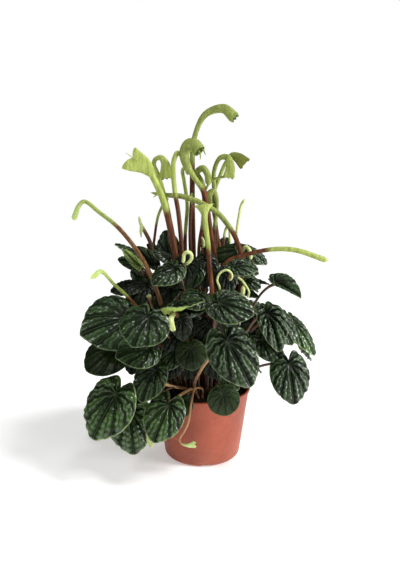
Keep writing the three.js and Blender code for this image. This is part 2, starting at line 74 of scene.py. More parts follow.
def shell(rings, first, last, uv=None):
    """A closed skin through rings of points: (points, faces, corner UVs).

    A quad joins each point to its neighbour round the ring and to the two on the next ring. Each end is shut
    by a fan to its pole, or, where the last pole is None, by a strip straight across the thin way. The faces
    are turned so that a sixth of the sum of a . (b x c) over their triangles, the volume inside, is positive.
    uv is a grid with one more column than the rings, so that a map can run on past its seam.
    """
    rows, columns = rings.shape[:2]
    if uv is None:
        across, along = np.meshgrid(np.linspace(0, 1, columns + 1), np.linspace(0, 1, rows))
        uv = np.stack((across, along), -1)
    poles = [first] if last is None else [first, last]
    points = np.concatenate((rings.reshape(-1, 3), poles))
    row, column = np.meshgrid(np.arange(rows - 1), np.arange(columns), indexing="ij")
    row, column = row.ravel(), column.ravel()
    beside = (column + 1) % columns
    quads = np.stack((row * columns + column, row * columns + beside,
                      (row + 1) * columns + beside, (row + 1) * columns + column), -1)
    near, far = uv[row, column], uv[row + 1, column]
    quad_uv = np.stack((near, uv[row, column + 1], uv[row + 1, column + 1], far), 1)

    around = np.arange(columns)
    beside = (around + 1) % columns
    triangles = []
    triangle_uv = []
    for number, (ring, order) in enumerate(((0, -1), (rows - 1, 1))[:len(poles)]):
        pair = np.stack((around, beside), -1)[:, ::order] + ring * columns
        triangles.append(np.column_stack((np.full(columns, rows * columns + number), pair)))
        corners = np.stack((uv[ring, :-1], uv[ring, 1:]), 1)[:, ::order]
        triangle_uv.append(np.concatenate((corners.mean(axis=1, keepdims=True), corners), 1))
    if last is None:
        near = np.arange(1, columns // 2 - 1)
        strip = np.stack((near, near + 1, columns - near - 1, columns - near), -1)
        tips = np.array(((0, 1, columns - 1), (columns // 2 - 1, columns // 2, columns // 2 + 1)))
        quads = np.concatenate((quads, strip + (rows - 1) * columns))
        quad_uv = np.concatenate((quad_uv, uv[-1][strip]))
        triangles.append(tips + (rows - 1) * columns)
        triangle_uv.append(uv[-1][tips])
    triangles = np.concatenate(triangles)
    triangle_uv = np.concatenate(triangle_uv)

    volume = 0.0
    for a, b, c in (quads[:, (0, 1, 2)].T, quads[:, (0, 2, 3)].T, triangles.T):
        volume += np.einsum("ij,ij->", points[a], np.cross(points[b], points[c]))
    turn = 1 if volume > 0 else -1
    return (points, [quads[:, ::turn], triangles[:, ::turn]], [quad_uv[:, ::turn], triangle_uv[:, ::turn]])


def add_piece(name, shells, finishes, record_slot, *stands_for):
    """One object at the origin, from closed shells in millimetres, each with the number of its finish."""
    points, sizes, corners, maps, numbers = [], [], [], [], []
    start = 0
    for (shell_points, faces, uvs), number in shells:
        points.append(shell_points)
        for part, part_uv in zip(faces, uvs):
            sizes.append(np.full(len(part), part.shape[1]))
            corners.append((part + start).ravel())
            maps.append(part_uv.reshape(-1, 2))
            numbers.append(np.full(len(part), number))
        start += len(shell_points)
    points, sizes, corners = np.concatenate(points) * MM, np.concatenate(sizes), np.concatenate(corners)
    mesh = bpy.data.meshes.new(name)
    mesh.vertices.add(len(points))
    mesh.vertices.foreach_set("co", points.ravel())
    mesh.loops.add(len(corners))
    mesh.loops.foreach_set("vertex_index", corners)
    mesh.polygons.add(len(sizes))
    mesh.polygons.foreach_set("loop_start", np.concatenate(([0], np.cumsum(sizes)[:-1])))
    mesh.polygons.foreach_set("material_index", np.concatenate(numbers))
    mesh.polygons.foreach_set("use_smooth", np.ones(len(sizes), bool))
    mesh.uv_layers.new(name="UVMap").data.foreach_set("uv", np.concatenate(maps).ravel())
    for finish in finishes:
        mesh.materials.append(finish)
    mesh.update(calc_edges=True)
    piece = bpy.data.objects.new(name, mesh)
    bpy.context.scene.collection.objects.link(piece)
    if record_slot is not None:
        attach(piece, "root")
    if stands_for:
        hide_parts(*stands_for)
    return piece


def feed(tree, socket, value):
    """Links a node's output to a socket, or sets the socket to a plain value."""
    if isinstance(value, bpy.types.NodeSocket):
        tree.links.new(value, socket)
    else:
        socket.default_value = value


def calc(tree, operation, *values, clamp=False):
    """The output of one Math node."""
    node = tree.nodes.new("ShaderNodeMath")
    node.operation = operation
    node.use_clamp = clamp
    for socket, value in zip(node.inputs, values):
        feed(tree, socket, value)
    return node.outputs[0]


def rise(tree, value, low, high):
    """A smooth step: 0 where the value is low or less, 1 where it is high or more."""
    node = tree.nodes.new("ShaderNodeMapRange")
    node.interpolation_type = "SMOOTHSTEP"
    feed(tree, node.inputs["Value"], value)
    node.inputs["From Min"].default_value = low
    node.inputs["From Max"].default_value = high
    return node.outputs["Result"]


def between(tree, share, first, second):
    """The colour that lies that share of the way from the first colour to the second."""
    node = tree.nodes.new("ShaderNodeMix")
    node.data_type = "RGBA"
    factor, one, other = node.inputs[0], node.inputs[6], node.inputs[7]
    feed(tree, factor, share)
    feed(tree, one, first)
    feed(tree, other, second)
    return node.outputs[2]


def new_finish(name):
    """A material with only its Principled shader: (material, tree, shader, object coordinates)."""
    material = bpy.data.materials.new(name)
    material.use_nodes = True
    tree = material.node_tree
    tree.nodes.clear()
    shader = tree.nodes.new("ShaderNodeBsdfPrincipled")
    output = tree.nodes.new("ShaderNodeOutputMaterial")
    tree.links.new(shader.outputs["BSDF"], output.inputs["Surface"])
    place = tree.nodes.new("ShaderNodeTexCoord").outputs["Object"]
    return material, tree, shader, place


def dress(tree, shader, settings):
    """Gives the shader's sockets their values: plain ones are set, a node's output is linked."""
    for socket, value in settings.items():
        feed(tree, shader.inputs[socket], value)


def texture(tree, kind, place, **settings):
    """A texture node over those coordinates."""
    node = tree.nodes.new("ShaderNodeTex" + kind)
    tree.links.new(place, node.inputs["Vector"])
    dress(tree, node, settings)
    return node


def stretched(tree, place, scale, turn=(0, 0, 0)):
    """The coordinates, scaled along each axis and then turned."""
    node = tree.nodes.new("ShaderNodeMapping")
    tree.links.new(place, node.inputs["Vector"])
    dress(tree, node, {"Scale": scale, "Rotation": turn})
    return node.outputs["Vector"]


def make_mottling():
    """A node group: noise at one scale plus half as much at six times that scale, from 0 to 1."""
    group = bpy.data.node_groups.new("mottling", "ShaderNodeTree")
    group.interface.new_socket("Place", in_out="INPUT", socket_type="NodeSocketVector")
    group.interface.new_socket("Scale", in_out="INPUT", socket_type="NodeSocketFloat")
    group.interface.new_socket("Value", in_out="OUTPUT", socket_type="NodeSocketFloat")
    source = group.nodes.new("NodeGroupInput").outputs
    layers = []
    for finer in (1, 6):
        scale = calc(group, "MULTIPLY", source["Scale"], finer)
        layers.append(texture(group, "Noise", source["Place"], Scale=scale, Detail=3).outputs["Fac"])
    both = calc(group, "MULTIPLY_ADD", layers[1], 0.5, layers[0])
    target = group.nodes.new("NodeGroupOutput")
    group.links.new(rise(group, both, 0.45, 1.05), target.inputs["Value"])
    return group


mottling = make_mottling()


def mottle(tree, place, scale):
    """The mottling over an object's own coordinates, at that scale."""
    node = tree.nodes.new("ShaderNodeGroup")
    node.node_tree = mottling
    tree.links.new(place, node.inputs["Place"])
    node.inputs["Scale"].default_value = scale
    return node.outputs["Value"]


def roughen(tree, shader, height, strength, distance):
    """Puts a bump of that height on the shader."""
    bump = tree.nodes.new("ShaderNodeBump")
    bump.inputs["Strength"].default_value = strength
    bump.inputs["Distance"].default_value = distance
    tree.links.new(height, bump.inputs["Height"])
    tree.links.new(bump.outputs["Normal"], shader.inputs["Normal"])


def make_pot_finish():
    """Terracotta-coloured plastic: two close reds, dusty towards the foot, with pale handling scuffs."""
    material, tree, shader, place = new_finish("terracotta_plastic")
    split = tree.nodes.new("ShaderNodeSeparateXYZ")
    tree.links.new(place, split.inputs[0])
    red = between(tree, mottle(tree, place, 28), shade(150, 74, 54), shade(168, 86, 64))
    low = calc(tree, "SUBTRACT", 1.0, rise(tree, split.outputs["Z"], 0.0, 0.03))
    dust = calc(tree, "MULTIPLY", low, calc(tree, "MULTIPLY", mottle(tree, place, 90), 0.5))
    dusty = between(tree, dust, red, shade(160, 104, 86))
    slanting = stretched(tree, place, (1, 1, 7), (0.5, 0.2, 0))
    scuff = texture(tree, "Noise", slanting, Scale=75, Detail=6).outputs["Fac"]
    scuffs = calc(tree, "MULTIPLY", rise(tree, scuff, 0.62, 0.75), 0.35)
    worn = calc(tree, "MULTIPLY_ADD", mottle(tree, place, 60), 0.16, 0.42)
    dress(tree, shader, {
        "Base Color": between(tree, scuffs, dusty, shade(200, 134, 112)),
        "Roughness": calc(tree, "MULTIPLY_ADD", scuffs, 0.4, worn),
        "Specular IOR Level": 0.3,
    })
    roughen(tree, shader, texture(tree, "Noise", place, Scale=1400).outputs["Fac"], 0.12, 0.0004)
    return material


def quarter(centre, radius, start, end, steps):
    """Points round an arc: centre + radius (cos, sin), for angles from start to end."""
    angle = np.linspace(start, end, steps)
    return np.column_stack((centre[0] + radius * np.cos(angle), centre[1] + radius * np.sin(angle)))


def turned(profile, sides):
    """Rings of a lathe: each profile point (r, z) becomes r cos, r sin, z round the axis."""
    angle = np.arange(sides) / sides * tau
    radius, height = profile[:, :1], profile[:, 1:]
    return np.stack((radius * np.cos(angle), radius * np.sin(angle), height + 0 * angle), -1)


def pot_radius(height):
    """The radius of the pot's outer wall at a height: a straight taper from foot to lip."""
    return POT_BASE_RADIUS + (POT_RIM_RADIUS - POT_LIP - POT_BASE_RADIUS) * height / POT_HEIGHT


def straight(start, end, steps):
    """Evenly spaced profile points from start to end, both left out."""
    share = np.linspace(0, 1, steps + 2)[1:-1, None]
    return np.array(start) + share * (np.array(end) - np.array(start))


lip_start = POT_HEIGHT - POT_LIP_HEIGHT
wall_end = pot_radius(lip_start)
inner_top = pot_radius(POT_HEIGHT) - POT_WALL
foot_out = (FOOT_CENTRE[0] + FOOT_ROUND, FOOT_ROUND)
foot_in = (FOOT_CENTRE[0] + FOOT_ROUND - POT_WALL, FOOT_ROUND)
pot_profile = np.concatenate((
    straight((0, 0), (FOOT_CENTRE[0], 0), 8),
    quarter(FOOT_CENTRE, FOOT_ROUND, -pi / 2, 0, 10),
    straight(foot_out, (wall_end, lip_start), 12),
    [(wall_end, lip_start), (wall_end + 0.35, lip_start + 0.1)],
    [(POT_RIM_RADIUS - 0.2, lip_start + 0.5), (POT_RIM_RADIUS, lip_start + 0.9)],
    quarter((POT_RIM_RADIUS - LIP_ROUND, POT_HEIGHT - LIP_ROUND), LIP_ROUND, 0, pi / 2, 6),
    quarter((inner_top + INNER_LIP_ROUND, POT_HEIGHT - INNER_LIP_ROUND), INNER_LIP_ROUND, pi / 2, pi, 4),
    straight((inner_top, POT_HEIGHT - INNER_LIP_ROUND), foot_in, 12),
    quarter(FOOT_CENTRE, FOOT_ROUND - POT_WALL, 0, -pi / 2, 8),
    straight((FOOT_CENTRE[0], POT_WALL), (0, POT_WALL), 8),
))
pot_shell = shell(turned(pot_profile, POT_SIDES), (0, 0, 0), (0, 0, POT_WALL))
pot = add_piece("pot_shell", [(pot_shell, 0)], [make_pot_finish()], "pot", "pot")


def squared(wave):
    """A wave with its flanks pushed out: its sign times the square root of its size."""
    return np.sign(wave) * np.abs(wave) ** 0.5


# The slots are cut through the rounded foot as six prisms with rounded ends.
slot_angle = np.arange(SLOT_SIDES) / SLOT_SIDES * tau
slot_outline = squared(np.cos(slot_angle)) * SLOT_HALF_WIDTH
slot_height = squared(np.sin(slot_angle)) * SLOT_HALF_HEIGHT + SLOT_MIDDLE
slot_reach = np.linspace(POT_BASE_RADIUS - FOOT_ROUND, POT_BASE_RADIUS + FOOT_ROUND, 3)
prisms = []
for number in range(DRAIN_SLOTS):
    turn = (number + 0.5) * tau / DRAIN_SLOTS + SLOT_TURN
    outward = np.array((np.cos(turn), np.sin(turn), 0))
    sideways = np.array((-np.sin(turn), np.cos(turn), 0))
    rings = (slot_reach[:, None, None] * outward + slot_outline[:, None] * sideways
             + slot_height[:, None] * np.array((0, 0, 1)))
    prisms.append((shell(rings, rings[0].mean(axis=0), rings[-1].mean(axis=0)), 0))
cutter = add_piece("slot_cutter", prisms, [], None)
cut = pot.modifiers.new("slots", "BOOLEAN")
cut.operation = "DIFFERENCE"
cut.solver = "EXACT"
cut.object = cutter
bpy.context.view_layer.update()
cut_mesh = bpy.data.meshes.new_from_object(pot.evaluated_get(bpy.context.evaluated_depsgraph_get()))
pot.modifiers.clear()
pot.data = cut_mesh
cut_mesh.set_sharp_from_angle(angle=SHARP_EDGE)
bpy.data.objects.remove(cutter)

# The soil --------------------------------------------------------------------------------------------------
# Dark peat compost, filled by hand to 7 mm below the lip and pressed down: lumpy, crumbly, nearly black
# where it is damp, with a few grey grains of grit and perlite.
SOIL_TOP = 58.0
SOIL_DIP = 0.9
CLEARANCE = 0.3
LUMP = dict(size=14, seed=1)
LUMP_HEIGHT = 0.5
SMALL_LUMP = dict(size=3.5, seed=2)
SMALL_LUMP_HEIGHT = 0.35
CRUMBS = 900
GRITS = 60
CRUMB_SIZE = (0.5, 1.7)
GRIT_SHARE = 0.7
SOIL_SIDES = 120


def lumps(x, y, size, seed):
    """Rolling ground: a sum of twelve cosines of place, each with its own direction and phase, over six."""
    chance = np.random.default_rng(seed)
    total = np.zeros_like(x)
    for _ in range(12):
        direction, phase = chance.uniform(0, tau, 2)
        pitch = size * chance.uniform(0.6, 1.8)
        total += np.cos((x * np.cos(direction) + y * np.sin(direction)) * tau / pitch + phase)
    return total / 6


def make_soil_finish(name, dark, light, scale):
    """Peat or grit: two colours in crumbs, dull, with a coarse bump."""
    material, tree, shader, place = new_finish(name)
    colour = between(tree, mottle(tree, place, scale), dark, light)
    dress(tree, shader, {"Base Color": colour, "Roughness": 0.92})
    roughen(tree, shader, mottle(tree, place, scale * 1.5), 0.7, 0.0006)
    return material


peat = make_soil_finish("damp_peat", shade(18, 13, 11), shade(52, 38, 30), 260)
grit = make_soil_finish("grey_grit", shade(96, 92, 86), shade(150, 146, 138), 500)

inset = POT_WALL + CLEARANCE
soil_edge = pot_radius(SOIL_TOP) - inset
top_radius = np.linspace(0, soil_edge - 0.6, 46)[1:]
soil_profile = np.concatenate((
    np.column_stack((top_radius, np.full(len(top_radius), SOIL_TOP - SOIL_DIP))),
    [(soil_edge, SOIL_TOP - 2.5)],
    straight((soil_edge, SOIL_TOP - 2.5), (FOOT_CENTRE[0] + FOOT_ROUND - inset, FOOT_ROUND), 6),
    quarter(FOOT_CENTRE, FOOT_ROUND - inset, 0, -pi / 2, 6),
    [(FOOT_CENTRE[0] / 2, inset)],
))
soil_rings = turned(soil_profile, SOIL_SIDES)
top_rows = slice(0, len(top_radius))
soil_x, soil_y = soil_rings[top_rows, :, 0], soil_rings[top_rows, :, 1]
soil_rings[top_rows, :, 2] += (LUMP_HEIGHT * lumps(soil_x, soil_y, **LUMP)
                               + SMALL_LUMP_HEIGHT * lumps(soil_x, soil_y, **SMALL_LUMP))
soil_middle = soil_rings[0].mean(axis=0) * (0, 0, 1)

chance = np.random.default_rng(7)


def crumb(centre, size):
    """A closed, twisted stack of three rings of five points: radius size (0.6, 1, 0.6), with random dents."""
    turn = np.arange(5) / 5 * tau + np.array((0, pi / 5, 0))[:, None] + chance.uniform(0, tau)
    radius = size * np.array((0.62, 1, 0.66))[:, None] * chance.uniform(0.75, 1.15, (3, 5))
    height = size * chance.uniform(0.5, 0.8) * np.array((-0.6, 0, 0.6))[:, None] + np.zeros((3, 5))
    rings = np.stack((radius * np.cos(turn), radius * np.sin(turn), height), -1) + centre
    return shell(rings, centre - (0, 0, size * 0.6), centre + (0, 0, size * 0.6))


crumbs = [(shell(soil_rings, soil_middle, (0, 0, inset)), 0)]
for number in range(CRUMBS + GRITS):
    spread = (soil_edge - 2) * chance.uniform(0.3, 1) ** 0.6
    turn = chance.uniform(0, tau)
    x, y = spread * np.cos(turn), spread * np.sin(turn)
    size = chance.uniform(*CRUMB_SIZE) * (1 if number < CRUMBS else GRIT_SHARE)
    ground = SOIL_TOP - SOIL_DIP + LUMP_HEIGHT * lumps(np.array(x), np.array(y), **LUMP)
    crumbs.append((crumb(np.array((x, y, float(ground) + size * 0.2)), size), int(number >= CRUMBS)))
add_piece("potting_soil", crumbs, [peat, grit], "soil", "soil")

# The crown -------------------------------------------------------------------------------------------------
# The short woody clump at soil level that every stalk grows from: knobbly brown stubs packed together,
# the older ones ending in the round scars of leaves that have dropped.
CROWN_RADIUS = 28.0
CROWN_HEIGHT = 10.0
STUBS = 54
STUB_RADIUS = (1.8, 3.0)
STUB_LENGTH = (3.0, 7.0)
STUB_SIDES = 14
STUB_ROWS = np.array((-0.5, 0, 0.25, 0.5, 0.75, 0.92, 1.0))
STUB_SWELL = np.array((1.1, 1.05, 0.92, 0.98, 0.86, 0.8, 0.45))
SPLAY = 2.2
KNOB_HEIGHT = 0.9
DOME_SIDES = 96
GOLDEN_TURN = pi * (3 - 5 ** 0.5)


def crown_top(distance):
    """The height of the crown's dome: soil + gap + 1 + 9 (1 - (distance / radius) squared)."""
    share = np.minimum(np.asarray(distance) / CROWN_RADIUS, 1)
    return SOIL_TOP + CLEARANCE + 1 + (CROWN_HEIGHT - 1) * (1 - share ** 2)


def unit(vector):
    """The vector made one long."""
    return vector / np.linalg.norm(vector, axis=-1, keepdims=True)


def crown_normal(x, y):
    """The way the dome looks at a point: its slope along x and y, and 1 upwards, made one long."""
    slope = 2 * (CROWN_HEIGHT - 1) / CROWN_RADIUS ** 2
    return unit(np.array((slope * x, slope * y, 1.0)))


def make_crown_finish():
    """Corky brown bark, darkened as painted shade, with greener patches and ring scars across the stubs."""
    material, tree, shader, place = new_finish("crown_bark")
    # Painted shade: the bark's own brown taken darker, as the shade under the leaves.
    bark = between(tree, mottle(tree, place, 160), shade(30, 20, 14), shade(74, 52, 36))
    patch = calc(tree, "MULTIPLY", mottle(tree, place, 55), 0.6)
    dress(tree, shader, {"Base Color": between(tree, patch, bark, shade(54, 48, 26)), "Roughness": 0.75})
    scars = texture(tree, "Wave", place, Scale=190, Distortion=6)
    scars.bands_direction = "Z"
    roughen(tree, shader, scars.outputs["Fac"], 0.5, 0.0006)
    return material


dome_radius = np.linspace(0, CROWN_RADIUS, 24)[1:]
dome_foot = SOIL_TOP + CLEARANCE
dome_profile = np.column_stack((dome_radius, crown_top(dome_radius)))
dome_profile = np.concatenate((dome_profile, [(CROWN_RADIUS, dome_foot), (10, dome_foot)]))
dome_rings = turned(dome_profile, DOME_SIDES)
dome_x, dome_y = dome_rings[:-2, :, 0], dome_rings[:-2, :, 1]
fade = np.minimum(1, 1.2 - dome_radius[:, None] / CROWN_RADIUS)
dome_rings[:-2, :, 2] += KNOB_HEIGHT * lumps(dome_x, dome_y, 6, 3) * fade
crown_shells = [(shell(dome_rings, (0, 0, float(crown_top(0))), (0, 0, dome_foot)), 0)]
chance = np.random.default_rng(11)
for number in range(STUBS):
    spread = (CROWN_RADIUS - 4) * ((number + 0.5) / STUBS) ** 0.5
    turn = number * GOLDEN_TURN
    x, y = spread * np.cos(turn), spread * np.sin(turn)
    grow = crown_normal(SPLAY * x, SPLAY * y)
    side = unit(np.cross(grow, (0.3, 1.0, 0.1)))
    other = np.cross(grow, side)
    radius, length = chance.uniform(*STUB_RADIUS), chance.uniform(*STUB_LENGTH)
    angle = np.arange(STUB_SIDES) / STUB_SIDES * tau
    dents = 1 + 0.07 * np.cos(3 * angle + chance.uniform(0, tau))
    foot = np.array((x, y, float(crown_top(spread))))
    rings = (foot + STUB_ROWS[:, None, None] * length * grow
             + ((radius * STUB_SWELL)[:, None] * dents)[..., None]
             * (np.cos(angle)[:, None] * side + np.sin(angle)[:, None] * other))
    crown_shells.append((shell(rings, rings[0].mean(axis=0), foot + grow * length * 0.97), 0))
add_piece("crown_stems", crown_shells, [make_crown_finish()], "stem", "crown")

# The leaves ------------------------------------------------------------------------------------------------
# Each leaf grew as one piece: a thick waxy heart, deeply rippled between veins that run from the joint and
# bend towards the tip, pale-edged and paler beneath; its dark valleys, pale crests and pale edge are painted
# shade and light. Its round fleshy tan stalk roots in the crown; in the clump it is painted a dark brown as
# shade, darkest at the crown.
BLADE_CENTRE = 0.24
BLADE_REACH = 0.62
TIP_DRAW = 0.14
TIP_SPREAD = 0.2
NOTCH_DEPTH = 0.75
NOTCH_SPREAD = 0.26
BULGE = 0.08
VEINS = 9
VEIN_BEND = 0.75
RIPPLE = 0.07
RIDGE_ROUND = 1.15
BRANCHING = (0.3, 0.65)
RELIEF_LEVEL = 0.6
QUILT_PITCH = 4.6
QUILT_DEPTH = 0.2
VEIN_WANDER = 0.07
SCALLOP = 0.045
SLOW_WAVE = 0.035
CROWDING = 0.25
LEAF_GRID = (160, 30)
JOINT_THICKNESS = 1.2
EDGE_THICKNESS = 0.75
PETIOLE_RADIUS = 1.2
SEEN_PETIOLE_RADIUS = 1.4
PETIOLE_ROWS = 34
PETIOLE_SIDES = 12
STALK_SINK = 0.4
OUTER_RING = 24.0
INNER_RING = 18.5
INNER_RING_HEIGHT = 140.0
CURVE_STEPS = 40

# Every leaf: its name, where its stalk joins it, its tip, the way its upper side looks and its width. Then
# what sets it apart: how it folds and curls, how deep its notch, point and ripple are, its green, and how far
# round its stalk swings, the ring or root it stands on and the places it passes where it lies in sight.
LEAVES = [
    ("low_left", (-71, -63, 80), (-90, -77, 46), (-0.28, -0.85, 0.45), 44, dict(green="fresh")),
    ("low_inner", (-62, -46, 58), (-58, -60, 24), (-0.1, -0.85, 0.4), 41, dict(swing=-0.12, green="fresh")),
    ("low_front", (-28, -68, 72), (-40, -82, 46), (-0.1, -0.8, 0.5), 33,
     dict(via=[(-9, -27, 71), (-13.4, -36, 72.8), (-22, -56, 74)], green="glossy")),
    ("low_middle", (-39, -56, 98), (-50, -70, 75), (-0.3, -0.7, 0.6), 29,
     dict(fold=0.2, swing=0.06, via=[(-13, -24, 69.5), (-21.5, -32, 74.5), (-32.2, -44, 82.5)])),
    ("over_pot", (17, -58, 78.5), (20, -62, 58.5), (0.05, -0.95, 0.3), 27,
     dict(swing=-0.12, green="dull", ripple=0.4, notch=0.35, point=0.25)),
    ("low_right", (73.5, -44, 99.5), (77, -57, 68), (0.15, -0.85, 0.4), 35, {}),
    ("left_large", (-66, -38, 137.5), (-102, -54, 129), (-0.3, -0.85, 0.45), 51,
     dict(swing=-0.3, ripple=0.65)),
    ("left_front", (-43, -74, 147.5), (-54, -88, 127), (-0.15, -0.8, 0.6), 42, dict(swing=-0.06)),
    ("left_under", (-45, -60, 118), (-70, -72, 114.5), (-0.1, -0.65, 0.75), 36,
     dict(swing=-0.08, ripple=0.7)),
    ("left_dull", (-73, -24, 110), (-104, -38, 90), (-0.4, -0.75, 0.5), 43,
     dict(green="dull", ripple=0.35, point=0.4)),
    ("front_right", (19, -72, 128), (38, -86, 94), (0.15, -0.85, 0.5), 39,
     dict(root=(-3.3, -23.8), via=[(-7, -29, 75), (-2, -37, 91), (6.7, -52, 109), (12, -60, 119)])),
    ("centre_right", (13, -72, 158), (40, -82, 152), (0, -0.65, 0.75), 32, dict(swing=0.12)),
    ("centre_folded", (-25, -60, 150), (2, -68, 160), (-0.3, -0.35, 0.85), 24,
     dict(curl=-0.4, green="edged")),
    ("right_folded", (52, -58, 146.5), (62, -72, 119), (0.35, -0.75, 0.5), 26,
     dict(fold=0.35, ring=OUTER_RING, ripple=1.6)),
    ("right_behind", (60, -40, 140), (76, -52, 119), (0.35, -0.7, 0.6), 31, {}),
    ("far_right", (79, -25, 131), (97, -38, 105), (0.6, -0.6, 0.5), 25, dict(green="fresh", ripple=0.7)),
    ("inner_round", (-10, -50, 115.5), (-7, -56, 96.5), (0, -0.9, 0.4), 26,
     dict(root=(-5.6, -20.5), green="dull", ripple=0.5, notch=0.4, point=0.3)),
    ("inner_upper", (-3, -39, 158), (-15, -50, 150), (-0.1, -0.7, 0.7), 24, dict(swing=-0.1)),
    ("right_edge", (26, -44, 184), (46, -50, 182), (0.1, -0.5, 0.85), 22, dict(swing=0.2)),
    ("upper_front", (-23.5, -47, 182), (-40, -60, 170), (-0.2, -0.6, 0.8), 27, dict(swing=0.04, ring=14.5)),
    ("top_left", (-58, -10, 189), (-76, -20, 200), (-0.5, -0.4, 0.75), 20, dict(swing=-0.25)),
    ("left_narrow", (-58, -10, 161), (-81, -20, 159), (-0.1, -0.45, 0.9), 22,
     dict(swing=-0.1, ring=OUTER_RING, green="shaded")),
    ("upper_right", (64, -18, 165), (85, -22, 153.5), (0.3, -0.65, 0.7), 17,
     dict(fold=0.95, point=1.6, notch=0.5, ripple=0.6)),
    ("top_right", (38, -4, 193), (57, -14, 181), (0.35, -0.45, 0.8), 24, {}),
    ("top_wide", (19, 44, 181), (-5, 34, 180), (-0.1, -0.5, 0.85), 34, dict(swing=0.25)),
    ("top_tall", (-30, 24, 185), (-36, 30, 209), (-0.3, -0.8, 0.3), 24, dict(swing=0.15)),
    ("back_right_low", (66, 34, 92), (86, 48, 60), (0.6, 0.4, 0.6), 36, {}),
    ("back_low", (28, 66, 84), (36, 86, 54), (0.2, 0.8, 0.5), 38, dict(green="glossy")),
    ("back_centre_low", (-8, 62, 74), (-12, 78, 44), (0, 0.85, 0.5), 34, {}),
    ("back_left_low", (-42, 60, 88), (-58, 80, 58), (-0.3, 0.7, 0.6), 38, dict(green="fresh")),
    ("side_left_low", (-78, 16, 92), (-104, 24, 66), (-0.7, 0.2, 0.7), 36, {}),
    ("side_right", (82, 8, 112), (104, 12, 84), (0.75, 0.1, 0.65), 34, {}),
    ("back_right", (58, 48, 129), (80, 66, 109), (0.4, 0.5, 0.75), 38, {}),
    ("back_middle", (10, 72, 128), (14, 98, 106), (0.1, 0.7, 0.7), 40, dict(green="glossy")),
    ("back_left", (-52, 50, 134), (-76, 68, 116), (-0.4, 0.5, 0.75), 38, {}),
    ("back_upper_right", (34, 36, 166), (48, 54, 154), (0.3, 0.4, 0.85), 32, dict(swing=-0.25)),
    ("back_upper", (-2, 52, 164), (-4, 76, 150), (0, 0.6, 0.8), 34, {}),
    ("back_upper_left", (-50, 34, 156), (-72, 48, 146), (-0.4, 0.35, 0.85), 32, dict(swing=-0.25)),
]


def blade_edge(angle, length, width, notch_depth=NOTCH_DEPTH, draw=TIP_DRAW):
    """How far the margin is from the joint, at an angle from the midrib.

    An oval of half length 0.62 and half the width, set 0.24 of the length forward, is solved for its radius;
    exp(-|a| / 0.2) draws it out at the tip and a Gaussian about a = pi notches it behind.
    """
    forward, reach, half = BLADE_CENTRE * length, BLADE_REACH * length, width / 2
    spread = (np.cos(angle) / reach) ** 2 + (np.sin(angle) / half) ** 2
    shift = forward * np.cos(angle) / reach ** 2
    oval = (shift + np.sqrt(shift ** 2 + spread * (1 - (forward / reach) ** 2))) / spread
    turn = np.abs(angle)
    notch = 1 - notch_depth * np.exp(-(((pi - turn) / NOTCH_SPREAD) ** 2))
    return oval * notch + draw * length * np.exp(-turn / TIP_SPREAD)


def smooth(value, low, high):
    """A smooth step from 0 at low to 1 at high."""
    share = np.clip((value - low) / (high - low), 0, 1)
    return share * share * (3 - 2 * share)


def leaf_frame(at, tip, face):
    """The leaf's joint, its length and its three directions: along the midrib, up from its face, sideways."""
    joint = np.array(at, float)
    length = float(np.linalg.norm(np.array(tip) - joint))
    midrib = (np.array(tip) - joint) / length
    up = np.array(face, float)
    up = unit(up - up.dot(midrib) * midrib)
    return joint, length, midrib, up, np.cross(up, midrib)


